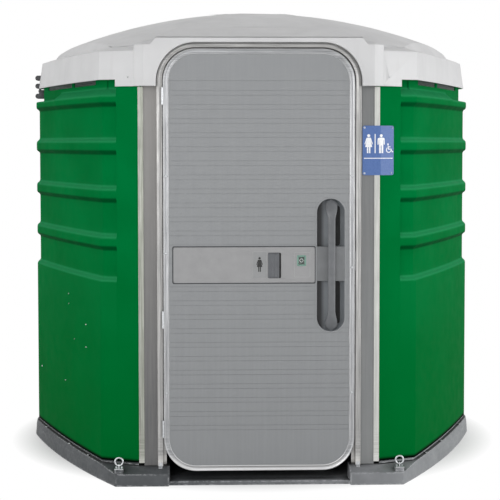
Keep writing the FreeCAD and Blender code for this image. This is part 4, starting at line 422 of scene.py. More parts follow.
def floor_tray_plastic():
    """Mid grey rotomoulded tank: grainy, dull, slightly blotched."""
    f = Finish("rotomoulded_tank_pe", 0.58)
    f.colour(f.mix(f.ramp(f.noise(130, 4.0), 0.3, 0.7), rgba("#63666b"), rgba("#75787d")))
    f.rough(f.ramp(f.noise(15, 4.0), 0.3, 0.7, 0.5, 0.68))
    f.bump(f.noise(2.4, 3.0), 0.25, 0.5)
    return f.material


def woven_screen():
    """Grey glass-fibre insect mesh: dull threads."""
    f = Finish("glass_fibre_mesh", 0.7)
    f.colour(f.mix(f.noise(3, 2.0), rgba("#6d7572"), rgba("#8a918e")))
    f.bump(f.noise(0.8, 2.0), 0.05, 0.5)
    return f.material


UPRIGHT = (1.0, 1.0, 40.0)
ACROSS = (40.0, 1.0, 1.0)
FINISHES = {}


def make_finishes():
    """Every finish of the cabin, by the name the pieces ask for."""
    FINISHES.update({
        "walls": thermoformed_polyethylene(),
        "roof": translucent_roof_polyethylene(),
        "tray": rotomoulded_tray(),
        "tank": floor_tray_plastic(),
        # aluminium shades: darker and lighter tone, die line, and the painted highlight and floor reflection
        "trim": extruded_aluminium("mill_aluminium_trim", ("#88898b", "#b0b1b3", "#77797b", "#c3c3c3"), 0.38),
        "frame": extruded_aluminium("mill_aluminium_frame", ("#878786", "#adacab", "#797978", "#cfcdca"), 0.38),
        "strip": extruded_aluminium("mill_aluminium_strip", ("#85887f", "#a5a79f", "#74776f", "#b9bab4"), 0.42),
        "strip_pale": extruded_aluminium("mill_aluminium_pale_strip", ("#b4b5b1", "#cdcec9", "#a5a6a2", "#d6d6d3"),
                                         0.42),
        "post": post_plastic(),
        "door": grooved_door_skin(),
        "latch": moulded_grey("moulded_latch_grey", "#959596", "#9b9b9c", 0.5),
        "tile": moulded_grey("printed_tile_grey", "#8f9091", "#959697", 0.5),
        "grip": moulded_grey("moulded_grip_grey", "#626467", "#6f7174", 0.42),
        "dark": moulded_grey("moulded_charcoal", "#2f3134", "#3a3c3f", 0.5),
        "steel": zinc_plated_steel(),
        "stainless": stainless_tube(),
        "sign": printed_sheet("printed_blue_sheet", "#4968a2", "#5573ac"),
        "print_white": printed_sheet("white_print", "#eef0f4", "#fbfcfd"),
        "print_black": printed_sheet("black_print", "#101010", "#1b1b1b"),
        "flag": printed_sheet("green_flag_print", "#033322", "#06402b"),
        "pane": acrylic_pane(),
        "seat": glossy_seat(),
        "pipe": moulded_grey("extruded_pale_pipe", "#c9caca", "#d6d6d6", 0.4),
        "tissue": tissue_paper(),
        "screen": woven_screen(),
        "pocket": shaded_pocket(),
        # grey for the painted shadow band round the latch plate
        "shade": moulded_grey("shaded_grey_plastic", "#303235", "#393b3f", 0.6),
        "cap": moulded_grey("moulded_cap_grey", "#707274", "#787a7c", 0.45),
        "latch_edge": moulded_grey("moulded_latch_edge", "#a2a2a3", "#adadae", 0.45),
        "latch_thumb": moulded_grey("moulded_thumb_grey", "#54565a", "#5e6064", 0.45),
        "bezel": printed_sheet("pale_green_print", "#6f9486", "#7a9d90"),
        # black for painted shadow in the pull pocket and the thumb slot
        "hole": moulded_grey("shaded_black_plastic", "#0b0b0c", "#121314", 0.8),
        "rivet_pale": moulded_grey("painted_rivet_head", "#b9c0cc", "#cbd1da", 0.4),
    })


NODE_FINISH = {
    "base_tray": "tray", "vent_screens": "screen", "front_strip_right": "strip_pale", "front_strip_left": "strip",
    "rear_strip_right": "strip", "rear_strip_left": "strip", "jamb_post_right": "post",
    "jamb_post_left": "post", "header_panel": "post", "door_frame_left": "frame",
    "door_frame_right": "frame", "door_frame_head": "frame", "frame_foot_brackets": "steel",
    "strike_plate": "steel", "lift_bracket": "dark", "lift_bracket_bolts": "steel", "sign_plate": "sign",
    "tie_down_plates": "steel", "tie_down_ring_right": "steel", "tie_down_ring_left": "steel",
    "door_front_panel": "door", "door_back_panel": "door", "door_edge_trim": "trim", "latch_plate": "latch",
    "symbol_tile": "tile", "indicator_window": "pane", "bolt_cover": "latch", "pull_handle": "grip",
    "inner_pull_handle": "dark", "latch_housing": "dark", "coat_hook": "stainless",
    "hinge_door_leaves": "steel", "hinge_frame_leaves": "steel", "hinge_pins": "steel",
    "latch_bolt": "steel", "latch_knob": "dark", "occupancy_flag": "flag", "waste_tank": "tank",
    "toilet_seat": "seat", "seat_lid": "seat", "seat_hinge_posts": "seat", "seat_hinge_pin": "stainless",
    "vent_pipe": "pipe", "vent_cap": "pipe", "grab_bar_side": "stainless", "grab_bar_rear": "stainless",
    "paper_bracket": "stainless", "paper_spindle": "stainless", "paper_roll_1": "tissue",
    "paper_roll_2": "tissue", "left_wall": "walls", "right_wall": "walls", "rear_wall": "walls",
    "roof": "roof", "base_bolts": "steel", "roof_rivets": "steel", "sign_rivets": "steel",
    "wall_rivets": "steel", "trim_rivets": "steel",
}


def slot_of(node):
    """The record's material slot of a node."""
    for row in frame["record"]["subparts"]:
        if row["node"] == node:
            return row["material_slot"]
    raise ValueError("no slot for " + node)


def dress(piece, finish):
    piece.data.materials.clear()
    piece.data.materials.append(FINISHES[finish])


def dress_nodes():
    """Give every node of the frame its finish."""
    for name, obj in NODES.items():
        material = FINISHES[NODE_FINISH[name]]
        if not obj.material_slots:
            obj.data.materials.append(material)
        for place in obj.material_slots:
            place.link = "OBJECT"
            place.material = material


def new_piece(name, mesh):
    piece = bpy.data.objects.new(name, mesh)
    bpy.context.scene.collection.objects.link(piece)
    return piece


def settle(piece):
    """Apply what the modifiers make, as a plain mesh."""
    graph = bpy.context.evaluated_depsgraph_get()
    mesh = bpy.data.meshes.new_from_object(piece.evaluated_get(graph))
    piece.modifiers.clear()
    if piece.type == "MESH":
        old = piece.data
        piece.data = mesh
        bpy.data.meshes.remove(old)
        return piece
    made = new_piece(piece.name + "_mesh", mesh)
    name = piece.name
    bpy.data.objects.remove(piece)
    made.name = name
    return made


def smooth(piece, angle=35.0):
    """Round shading, kept sharp where two faces meet at more than the angle."""
    piece.data.shade_smooth()
    piece.data.set_sharp_from_angle(angle=math.radians(angle))


def finish_piece(piece, finish, body, slot, *nodes):
    """The last steps of every piece: material, what it stands for and what it rides on. The slot argument is not
    used.
    """
    dress(piece, finish)
    if nodes:
        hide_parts(*nodes)
    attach(piece, body)
    return piece


def body_of(node):
    return NODES[node]["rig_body"]


def merged_copy(node, name):
    """A copy of a node's mesh with its loose triangles joined and its flat faces whole."""
    mesh = NODES[node].data.copy()
    shape = bmesh.new()
    shape.from_mesh(mesh)
    bmesh.ops.remove_doubles(shape, verts=shape.verts, dist=0.00002)
    bmesh.ops.dissolve_limit(shape, angle_limit=math.radians(0.15), verts=shape.verts, edges=shape.edges)
    shape.to_mesh(mesh)
    shape.free()
    mesh.name = name
    return new_piece(name, mesh)


def soften(node, name, radius_mm, turn=25.0, shortest_mm=6.0, segments=3):
    """A copy of a node whose long sharp edges are rounded, as a mould leaves them."""
    piece = merged_copy(node, name)
    shape = bmesh.new()
    shape.from_mesh(piece.data)
    weight = shape.edges.layers.float.new("bevel_weight_edge")
    for edge in shape.edges:
        length = edge.calc_length()
        if len(edge.link_faces) == 2 and length > shortest_mm * MM:
            if edge.calc_face_angle() > math.radians(turn):
                room = min(face.calc_area() / length for face in edge.link_faces) * 0.45
                edge[weight] = min(1.0, room / (radius_mm * MM))
    shape.to_mesh(piece.data)
    shape.free()
    rounding = piece.modifiers.new("rounding", "BEVEL")
    rounding.width = radius_mm * MM
    rounding.segments = segments
    rounding.limit_method = "WEIGHT"
    rounding.use_clamp_overlap = False
    rounding.miter_outer = "MITER_ARC"
    settle(piece)
    smooth(piece, 40.0)
    return piece


def rounded(corners, steps=3):
    """A line of (a, b, radius) points with each corner rounded to its radius."""
    line = []
    for i, (a, b, radius) in enumerate(corners):
        here = Vector((a, b))
        if radius <= 0:
            line.append(here)
            continue
        before = Vector(corners[i - 1][:2])
        after = Vector(corners[i + 1][:2])
        cut_in = min(radius, (before - here).length * 0.48)
        cut_out = min(radius, (after - here).length * 0.48)
        start = here + (before - here).normalized() * cut_in
        end = here + (after - here).normalized() * cut_out
        for step in range(steps + 1):
            t = step / steps
            line.append(start * (1 - t) ** 2 + here * 2 * t * (1 - t) + end * t ** 2)
    return line


def wall_profile(stepped, radius):
    """Upright profile of a pressed wall as (height, depth) points: pockets between ribs, then the deep
    recess under the roof, which starts with a slope or a level step."""
    corners = [(WALL_BOTTOM, 0.0, 0)]
    for index in reversed(range(RIB_COUNT)):
        top = RIB_Z - index * RIB_PITCH
        bottom = top - RIB_PITCH + RIB_FACE if index < RIB_COUNT - 1 else PLAIN_TOP
        corners += [(bottom, 0.0, radius), (bottom + POCKET_SLOPE_LOW, POCKET_DEPTH, radius),
                    (top - POCKET_SLOPE_HIGH, POCKET_DEPTH, radius), (top, 0.0, radius)]
    rise = 1.0 if stepped else RECESS_RISE
    corners += [(RECESS_Z, 0.0, radius), (RECESS_Z + rise, RECESS_DEPTH, radius),
                (SLOT_Z, RECESS_DEPTH, 0), (SLOT_Z + SLOT_H, RECESS_DEPTH, 0),
                (NECK_Z - 1, RECESS_DEPTH, 0), (NECK_Z + 1, RECESS_DEPTH, 0), (WALL_TOP, RECESS_DEPTH, 0)]
    return rounded(corners)


class PlanLine:
    """Plan of the right wall's front half: flat, facet, bow and round corner, as (x, y) with -y in front."""

    def __init__(self):
        self.start = Vector((FACET_X, -WALL_FRONT))
        self.crease = Vector((CREASE_X, -CREASE_Y))
        self.along = (self.crease - self.start).normalized()
        self.facet_in = Vector((-self.along.y, self.along.x))
        self.round_c = Vector((WALL_HALF - ROUND_R, 0.0))
        chord = self.round_c - self.crease
        near = BOW_R - ROUND_R
        run = (BOW_R ** 2 - near ** 2 + chord.length_squared) / (2 * chord.length)
        unit = chord.normalized()
        across = math.sqrt(BOW_R ** 2 - run ** 2)
        self.bow_c = self.crease + unit * run + Vector((-unit.y, unit.x)) * across
        out = (self.round_c - self.bow_c).normalized()
        self.tangent = self.bow_c + out * BOW_R

    def side(self, y):
        """Point and inward direction on the bowed side at y."""
        centre, radius = (self.bow_c, BOW_R) if y < self.tangent.y else (self.round_c, ROUND_R)
        point = Vector((centre.x + math.sqrt(radius ** 2 - (y - centre.y) ** 2), y))
        return point, (centre - point).normalized()


def between(a, b):
    """The direction that keeps both offsets where two straight runs meet."""
    middle = (a + b).normalized()
    return middle / middle.dot(a)


END_ROUNDING = ((-4.5, 0.0), (-1.4, 0.06), (-0.2, 0.22), (0.3, 0.5), (0.8, 0.78), (2.0, 0.94), (5.0, 1.0))


def wall_columns():
    """Columns of the right wall from the front to the rear: (point, inward, pocket share, stepped)."""
    plan = PlanLine()
    front = Vector((0.0, 1.0))
    columns = [(Vector((RETURN_X, -WALL_FRONT)), front, 0.0, False),
               (plan.start, between(front, plan.facet_in), 0.0, False)]
    length = (plan.crease - plan.start).length
    first = length * (POCKET_X - FACET_X) / (CREASE_X - FACET_X)
    for shift, share in END_ROUNDING:
        columns.append((plan.start + plan.along * (first + shift), plan.facet_in, share, False))
    for step in (0.35, 0.7):
        s = first + (length - first) * step
        columns.append((plan.start + plan.along * s, plan.facet_in, 1.0, False))
    crease_in = plan.side(-CREASE_Y + 0.01)[1]
    columns.append((plan.crease, between(plan.facet_in, crease_in), 1.0, False))
    marks = [-CREASE_Y + 12, -STEP_HALF - 1.0, -STEP_HALF + 1.0, plan.tangent.y]
    for y0, y1 in SLOT_SPANS:
        marks += [-y0, -y1]
    marks += [-CREASE_Y + 45 * i for i in range(1, 23)]
    marks += [plan.tangent.y * i / 6 for i in range(1, 6)]
    done = -CREASE_Y
    for y in sorted(marks):
        if y - done > 0.5 and y < -0.5:
            point, inward = plan.side(y)
            columns.append((point, inward, 1.0, y > -STEP_HALF))
            done = y
    tip = [(Vector((WALL_HALF, 0.0)), Vector((-1.0, 0.0)), 1.0, True)]
    rear = [(Vector((p.x, -p.y)), Vector((n.x, -n.y)), share, stepped)
            for p, n, share, stepped in reversed(columns)]
    return columns + tip + rear


def rear_columns():
    """Columns of the flat rear wall, from one side to the other."""
    inward = Vector((0.0, -1.0))
    half = []
    for x in (REAR_HALF, REAR_HALF - 20):
        half.append((Vector((x, WALL_FRONT)), inward, 0.0, False))
    for shift, share in END_ROUNDING:
        half.append((Vector((REAR_POCKET_HALF - shift, WALL_FRONT)), inward, share, False))
    for x in (400.0, 300.0, 200.0, 100.0):
        half.append((Vector((x, WALL_FRONT)), inward, 1.0, False))
    other = [(Vector((-p.x, p.y)), n, share, stepped) for p, n, share, stepped in reversed(half)]
    return half + [(Vector((0.0, WALL_FRONT)), inward, 1.0, False)] + other


def pressed_wall(name, columns, thickness_mm, radius_mm, slotted):
    """A sheet with ribs pressed into it, as a grid of columns and profile points, given its thickness."""
    profiles = {False: wall_profile(False, radius_mm), True: wall_profile(True, radius_mm)}
    shape = bmesh.new()
    grid = []
    for point, inward, share, stepped in columns:
        line = []
        for z, depth in profiles[stepped]:
            neck = NECK_DEPTH if z > NECK_Z else 0.0
            place = point + inward * max(depth * share, neck)
            line.append(shape.verts.new((place.x * MM, place.y * MM, z * MM)))
        grid.append(line)
    for a, b, left, right in zip(grid, grid[1:], columns, columns[1:]):
        y = abs(left[0].y + right[0].y) / 2
        in_slot = slotted and any(y0 < y < y1 for y0, y1 in SLOT_SPANS)
        for i in range(len(a) - 1):
            z = (a[i].co.z + a[i + 1].co.z) / 2 / MM
            if in_slot and SLOT_Z < z < SLOT_Z + SLOT_H:
                continue
            shape.faces.new((a[i], b[i], b[i + 1], a[i + 1]))
    mesh = bpy.data.meshes.new(name)
    shape.to_mesh(mesh)
    shape.free()
    piece = new_piece(name, mesh)
    sheet = piece.modifiers.new("sheet", "SOLIDIFY")
    sheet.thickness = thickness_mm * MM
    sheet.offset = -1.0
    settle(piece)
    smooth(piece, 50.0)
    return piece


def mirrored(piece, name):
    """The same piece on the other side of the door."""
    mesh = piece.data.copy()
    mesh.transform(Matrix.Scale(-1.0, 4, (1.0, 0.0, 0.0)))
    mesh.flip_normals()
    made = new_piece(name, mesh)
    smooth(made, 50.0)
    return made


def node_tree(name, inputs):
    """An empty Geometry Nodes tree with named inputs, each a label, a kind of socket and a default."""
    tree = bpy.data.node_groups.new(name, "GeometryNodeTree")
    tree.interface.new_socket("Geometry", in_out="INPUT", socket_type="NodeSocketGeometry")
    for label, kind, value in inputs + [("Material", "NodeSocketMaterial", None)]:
        socket = tree.interface.new_socket(label, in_out="INPUT", socket_type=kind)
        if value is not None:
            socket.default_value = value
    tree.interface.new_socket("Geometry", in_out="OUTPUT", socket_type="NodeSocketGeometry")
    return tree, add_node(tree, "NodeGroupInput").outputs


def end_tree(tree, enter, shape):
    """Every tree ends in plain, coloured geometry."""
    real = add_node(tree, "GeometryNodeRealizeInstances", inputs={0: shape})
    dyed = add_node(tree, "GeometryNodeSetMaterial", inputs={"Geometry": real.outputs[0],
                                                              "Material": enter["Material"]})
    add_node(tree, "NodeGroupOutput", inputs={0: dyed.outputs[0]})
    return tree


def run_tree(piece, tree, **values):
    """Put a tree on a piece with its inputs, and keep what it makes as a plain mesh."""
    made = piece.modifiers.new(tree.name, "NODES")
    made.node_group = tree
    for item in tree.interface.items_tree:
        key = item.name.lower().replace(" ", "_")
        if item.item_type == "SOCKET" and item.in_out == "INPUT" and key in values:
            made[item.identifier] = values[key]
    return settle(piece)


def attribute(tree, name, kind="FLOAT_VECTOR"):
    return add_node(tree, "GeometryNodeInputNamedAttribute", {"data_type": kind}, {"Name": name}).outputs[0]


def sweep_tree():
    """A closed section carried along a path with mitred corners. The mesh holds the path's points, each
    with the way across it, and then the section's points as shares of its width and depth."""
    tree, enter = node_tree("section_sweep", [
        ("Path points", "NodeSocketInt", 2), ("Section points", "NodeSocketInt", 4),
        ("Rows", "NodeSocketInt", 2), ("Width", "NodeSocketFloat", 0.024), ("Depth", "NodeSocketFloat", 0.05)])
    maths = lambda kind, a, b: add_node(tree, "ShaderNodeMath", {"operation": kind}, {0: a, 1: b}).outputs[0]
    columns = maths("ADD", enter["Section points"], 1.0)
    grid = add_node(tree, "GeometryNodeMeshGrid", inputs={"Vertices X": enter["Rows"], "Vertices Y": columns})
    index = add_node(tree, "GeometryNodeInputIndex").outputs[0]
    row = maths("MODULO", maths("FLOOR", maths("DIVIDE", maths("ADD", index, 0.5), columns), 0.0),
                enter["Path points"])
    column = maths("MODULO", maths("MODULO", index, columns), enter["Section points"])
    place = add_node(tree, "GeometryNodeInputPosition").outputs[0]

    def sample(value, at):
        made = add_node(tree, "GeometryNodeSampleIndex", {"data_type": "FLOAT_VECTOR"},
                        {"Geometry": enter["Geometry"], "Value": value, "Index": at})
        return made.outputs[0]

    share = sample(place, maths("ADD", column, enter["Path points"]))
    share = add_node(tree, "ShaderNodeSeparateXYZ", inputs={0: share})
    across = add_node(tree, "ShaderNodeVectorMath", {"operation": "SCALE"}, {
        0: sample(attribute(tree, "across"), row), "Scale": maths("MULTIPLY", share.outputs[0], enter["Width"])})
    back = add_node(tree, "ShaderNodeCombineXYZ", inputs={1: maths("MULTIPLY", share.outputs[1],
                                                                   enter["Depth"])})
    moved = add_node(tree, "ShaderNodeVectorMath", {"operation": "ADD"}, {0: across.outputs[0],
                                                                          1: back.outputs[0]})
    moved = add_node(tree, "ShaderNodeVectorMath", {"operation": "ADD"}, {0: moved.outputs[0],
                                                                          1: sample(place, row)})
    swept = add_node(tree, "GeometryNodeSetPosition", inputs={"Geometry": grid.outputs[0],
                                                              "Position": moved.outputs[0]})
    joined = add_node(tree, "GeometryNodeMergeByDistance", inputs={"Geometry": swept.outputs[0],
                                                                   "Distance": 0.00001})
    return end_tree(tree, enter, joined.outputs[0])


def fixing_tree():
    """One head on every point, turned to look along the point's outward way and spun at random."""
    tree, enter = node_tree("fixings", [
        ("Head", "NodeSocketObject", None), ("Size", "NodeSocketFloat", 1.0), ("Seed", "NodeSocketInt", 7)])
    head = add_node(tree, "GeometryNodeObjectInfo", {"transform_space": "ORIGINAL"},
                    {"Object": enter["Head"]}).outputs["Geometry"]
    facing = add_node(tree, "FunctionNodeAlignRotationToVector", {"axis": "Z"},
                      {"Vector": attribute(tree, "outward")})
    angle = add_node(tree, "FunctionNodeRandomValue", {"data_type": "FLOAT"}, {3: math.tau,
                                                                               "Seed": enter["Seed"]})
    spin = add_node(tree, "FunctionNodeAxisAngleToRotation", inputs={"Axis": (0.0, 0.0, 1.0),
                                                                     "Angle": angle.outputs[1]})
    turned = add_node(tree, "FunctionNodeRotateRotation", {"rotation_space": "LOCAL"},
                      {0: facing.outputs[0], 1: spin.outputs[0]})
    placed = add_node(tree, "GeometryNodeInstanceOnPoints", inputs={
        "Points": enter["Geometry"], "Instance": head, "Rotation": turned.outputs[0], "Scale": enter["Size"]})
    return end_tree(tree, enter, placed.outputs[0])


def net_tree():
    """A round wire along every edge of a mesh."""
    tree, enter = node_tree("wire_net", [("Wire radius", "NodeSocketFloat", 0.0006),
                                         ("Wire sides", "NodeSocketInt", 4)])
    line = add_node(tree, "GeometryNodeMeshToCurve", inputs={"Mesh": enter["Geometry"]})
    ring = add_node(tree, "GeometryNodeCurvePrimitiveCircle", inputs={"Resolution": enter["Wire sides"],
                                                                      "Radius": enter["Wire radius"]})
    wire = add_node(tree, "GeometryNodeCurveToMesh", inputs={
        "Curve": line.outputs[0], "Profile Curve": ring.outputs[0], "Fill Caps": True})
    return end_tree(tree, enter, wire.outputs[0])


def points_mesh(name, places, layer, ways):
    """Loose points in millimetres, each with a way of its own in the named attribute."""
    mesh = bpy.data.meshes.new(name)
    mesh.from_pydata([Vector(p) * MM for p in places], [], [])
    made = mesh.attributes.new(layer, "FLOAT_VECTOR", "POINT")
    for item, way in zip(made.data, ways):
        item.vector = way
    return mesh


def arc(centre_x, centre_z, radius, start, end, steps):
    """Points on a round corner as (x, z, way inwards)."""
    line = []
    for step in range(steps + 1):
        angle = math.radians(start + (end - start) * step / steps)
        way = Vector((-math.cos(angle), 0.0, -math.sin(angle)))
        line.append((centre_x + radius * math.cos(angle), centre_z + radius * math.sin(angle), way))
    return line


def round_outline(x0, x1, z0, z1, radius, steps=14):
    """Closed rounded rectangle as (x, z, way inwards), clockwise from the lower left corner."""
    corners = ((x0 + radius, z0 + radius, 270, 180), (x0 + radius, z1 - radius, 180, 90),
               (x1 - radius, z1 - radius, 90, 0), (x1 - radius, z0 + radius, 360, 270))
    line = []
    for x, z, start, end in corners:
        line += arc(x, z, radius, start, end, steps)
    return line


def swept(name, line, section, front, width, depth, closed):
    """A section along an outline. Its points are (across, behind the front) in millimetres."""
    places = [(x, front, z) for x, z, way in line] + [(u / width, d / depth, 0.0) for u, d in section]
    places = places[:len(line)] + [(u / MM, d / MM, 0.0) for u, d, _ in places[len(line):]]
    ways = [way for x, z, way in line] + [Vector()] * len(section)
    piece = new_piece(name, points_mesh(name, places, "across", ways))
    run_tree(piece, sweep_tree(), path_points=len(line), section_points=len(section),
             rows=len(line) + (1 if closed else 0), width=width * MM, depth=depth * MM)
    return mended(piece)


def mended(piece, angle=50.0):
    """Close the ends of a piece and turn its faces outwards."""
    shape = bmesh.new()
    shape.from_mesh(piece.data)
    bmesh.ops.remove_doubles(shape, verts=shape.verts, dist=0.000005)
    bmesh.ops.holes_fill(shape, edges=[e for e in shape.edges if e.is_boundary])
    bmesh.ops.recalc_face_normals(shape, faces=shape.faces)
    shape.to_mesh(piece.data)
    shape.free()
    smooth(piece, angle)
    return piece


def punched(piece, low, high):
    """Cut a square hole through a piece."""
    shape = bmesh.new()
    bmesh.ops.create_cube(shape, size=1.0)
    for vert in shape.verts:
        for i in range(3):
            vert.co[i] = (low[i] if vert.co[i] < 0 else high[i]) * MM
    mesh = bpy.data.meshes.new("punch")
    shape.to_mesh(mesh)
    shape.free()
    punch = new_piece("punch", mesh)
    hole = piece.modifiers.new("hole", "BOOLEAN")
    hole.operation = "DIFFERENCE"
    hole.solver = "EXACT"
    hole.object = punch
    settle(piece)
    bpy.data.objects.remove(punch)
    smooth(piece, 50.0)
    return piece


def lathe(name, profile, sides):
    """A turned head from (radius, height) points that start and end on the axis."""
    shape = bmesh.new()
    rings = []
    for radius, height in profile:
        count = 1 if radius == 0 else sides
        ring = []
        for i in range(count):
            angle = math.tau * i / sides
            ring.append(shape.verts.new((radius * math.cos(angle) * MM, radius * math.sin(angle) * MM,
                                         height * MM)))
        rings.append(ring)
    for a, b in zip(rings, rings[1:]):
        for i in range(sides):
            j = (i + 1) % sides
            corners = [a[i % len(a)], a[j % len(a)], b[j % len(b)], b[i % len(b)]]
            shape.faces.new(list(dict.fromkeys(corners)))
    bmesh.ops.recalc_face_normals(shape, faces=shape.faces)
    mesh = bpy.data.meshes.new(name)
    shape.to_mesh(mesh)
    shape.free()
    made = new_piece(name, mesh)
    smooth(made, 35.0)
    return made


def islands(node):
    """The separate solids of a node, each as its points and its triangles' (normal, area, middle)."""
    shape = bmesh.new()
    shape.from_mesh(NODES[node].data)
    bmesh.ops.remove_doubles(shape, verts=shape.verts, dist=0.00002)
    left = set(shape.verts)
    found = []
    while left:
        grown = [left.pop()]
        for vert in grown:
            for edge in vert.link_edges:
                other = edge.other_vert(vert)
                if other in left:
                    left.remove(other)
                    grown.append(other)
        faces = {face for vert in grown for face in vert.link_faces}
        found.append(([v.co.copy() for v in grown],
                      [(f.normal.copy(), f.calc_area(), f.calc_center_median()) for f in faces]))
    shape.free()
    return sorted(found, key=lambda item: tuple(round(c, 4) for c in item[0][0]))


def fixing_places(node, head_mm):
    """Where the heads of a node's rivets or bolts sit, and which way they look."""
    places = []
    ways = []
    for points, faces in islands(node):
        middle = sum(points, Vector()) / len(points)
        normal = max(faces, key=lambda item: item[1])[0]
        ends = {}
        for side in (1, -1):
            way = normal * side
            top = max(p.dot(way) for p in points)
            near = [p for p in points if p.dot(way) > top - head_mm * MM * 1.01]
            wide = max((p - middle - way * (p - middle).dot(way)).length for p in near)
            ends[side] = (round(wide, 6), top, way)
        wide, top, way = max(ends.values(), key=lambda item: item[0])
        axis = middle - way * middle.dot(way)
        places.append((axis + way * (top - head_mm * MM)) / MM)
        ways.append(way)
    return places, ways


def fixings(name, node, head, finish, head_mm, size=1.0):
    """New heads on a node's fixings."""
    places, ways = fixing_places(node, head_mm)
    piece = new_piece(name, points_mesh(name, places, "outward", ways))
    run_tree(piece, fixing_tree(), head=head, size=size, seed=len(name))
    smooth(piece, 35.0)
    return finish_piece(piece, finish, body_of(node), slot_of(node), node)


def slab(name, outlines, place, low, high):
    """Flat closed shapes in millimetres, carried from low to high above the face that place gives."""
    shape = bmesh.new()
    for line in outlines:
        rings = [[shape.verts.new(place(u, v, lift) * MM) for u, v in line] for lift in (low, high)]
        shape.faces.new(rings[1])
        shape.faces.new(list(reversed(rings[0])))
        for i in range(len(line)):
            j = (i + 1) % len(line)
            shape.faces.new((rings[0][i], rings[0][j], rings[1][j], rings[1][i]))
    bmesh.ops.recalc_face_normals(shape, faces=shape.faces)
    mesh = bpy.data.meshes.new(name)
    shape.to_mesh(mesh)
    shape.free()
    return new_piece(name, mesh)


def disc(x, y, radius, count=24):
    return [(x + radius * math.cos(math.tau * i / count), y + radius * math.sin(math.tau * i / count))
            for i in range(count)]


def stroke(points, width):
    """Outline of a line of the given width through the points."""
    sides = ([], [])
    for i, point in enumerate(points):
        here = Vector(point)
        before = (here - Vector(points[i - 1])).normalized() if i else None
        after = (Vector(points[i + 1]) - here).normalized() if i + 1 < len(points) else None
        along = ((before or after) + (after or before)).normalized()
        normal = Vector((-along.y, along.x))
        flat = before or after
        reach = width / 2 / max(0.4, normal.dot(Vector((-flat.y, flat.x))))
        sides[0].append(tuple(here + normal * reach))
        sides[1].append(tuple(here - normal * reach))
    return sides[0] + list(reversed(sides[1]))


WOMAN = ((0.07, 0.185), (0.115, 0.2), (0.22, 0.52), (0.18, 0.54), (0.1, 0.31), (0.11, 0.35), (0.185, 0.68),
         (0.09, 0.68), (0.09, 1.0), (0.02, 1.0), (0.02, 0.68))
MAN = ((0.08, 0.185), (0.15, 0.2), (0.195, 0.24), (0.2, 0.55), (0.145, 0.55), (0.135, 0.31), (0.12, 0.31),
       (0.115, 1.0), (0.02, 1.0), (0.02, 0.6))
CHAIR_ARC = (0.44, 0.68, 0.27)


def figure(half, x, top, height):
    """A standing figure from the outline of its right half, as shares of its height."""
    whole = list(half) + [(-a, b) for a, b in reversed(half)]
    body = [(x + a * height, top + b * height) for a, b in whole]
    return [disc(x, top + 0.085 * height, 0.08 * height), body]


def wheelchair(x, top, size):
    """The usual wheelchair picture: head, body, seat, leg and an open wheel."""
    cx, cy, radius = CHAIR_ARC
    wheel = []
    for step in range(25):
        angle = math.radians(-125 - 225 * step / 24)
        wheel.append((cx + radius * math.cos(angle), cy + radius * math.sin(angle)))
    lines = [[(0.36, 0.2), (0.4, 0.6), (0.72, 0.6), (0.85, 0.9), (0.97, 0.86)], [(0.39, 0.37), (0.64, 0.37)],
             wheel]
    shapes = [disc(x + 0.35 * size, top + 0.085 * size, 0.085 * size)]
    for line in lines:
        shapes.append([(x + a * size, top + b * size) for a, b in stroke(line, 0.085)])
    return shapes


class CabinWalls(bpy.types.PropertyGroup):
    thickness: bpy.props.FloatProperty(name="Sheet thickness", description="Thickness of the wall sheet in mm",
                                       default=6.0, min=2.0, max=10.0)
    rounding: bpy.props.FloatProperty(name="Rib rounding", description="Rounding of the ribs' edges in mm",
                                      default=9.0, min=1.0, max=11.0)


class CabinDoorFinish(bpy.types.PropertyGroup):
    frame_width: bpy.props.FloatProperty(name="Frame width", description="Face of the door frame in mm",
                                         default=FRAME_W, min=15.0, max=30.0)
    trim_width: bpy.props.FloatProperty(name="Trim width", description="Face of the door's edge trim in mm",
                                        default=TRIM_W, min=15.0, max=30.0)


class CabinFittings(bpy.types.PropertyGroup):
    net_pitch: bpy.props.FloatProperty(name="Net pitch", description="Gap between the vent net's wires in mm",
                                       default=7.0, min=3.0, max=20.0)
    net_wire: bpy.props.FloatProperty(name="Net wire", description="Thickness of the vent net's wires in mm",
                                      default=1.4, min=0.5, max=1.5)
    head_size: bpy.props.FloatProperty(name="Head size", description="Size of the rivets' heads",
                                       default=1.0, min=0.5, max=1.2, subtype="FACTOR")


class CabinLight(bpy.types.PropertyGroup):
    key: bpy.props.FloatProperty(name="Key light", description="Power of the large front lamp in watts",
                                 default=133.0, min=0.0, max=3000.0)
    sky: bpy.props.FloatProperty(name="Surround", description="Strength of the even light from all round",
                                 default=0.4, min=0.0, max=3.0)


class OBJECT_OT_cabin_walls(bpy.types.Operator):
    """Pressed side and rear walls with rounded ribs"""
    bl_idname = "object.cabin_walls"
    bl_label = "Cabin walls"

    def execute(self, context):
        sizes = context.scene.cabin_walls
        right = pressed_wall("wall_sheet_right", wall_columns(), sizes.thickness, sizes.rounding, True)
        left = mirrored(right, "wall_sheet_left")
        rear = pressed_wall("wall_sheet_rear", rear_columns(), sizes.thickness, sizes.rounding, False)
        finish_piece(right, "walls", "root", "wall_plastic", "right_wall")
        finish_piece(left, "walls", "root", "wall_plastic", "left_wall")
        finish_piece(rear, "walls", "root", "wall_plastic", "rear_wall")
        return {"FINISHED"}


class OBJECT_OT_cabin_shell(bpy.types.Operator):
    """Roof and base tray with moulded edges"""
    bl_idname = "object.cabin_shell"
    bl_label = "Roof and tray"

    def execute(self, context):
        roof = soften("roof", "roof_moulding", 4.0, 12.0, 14.0)
        finish_piece(roof, "roof", "root", "roof_plastic", "roof")
        tray = soften("base_tray", "tray_moulding", 3.0, 20.0, 9.0)
        finish_piece(tray, "tray", "root", "tray_plastic", "base_tray")
        return {"FINISHED"}


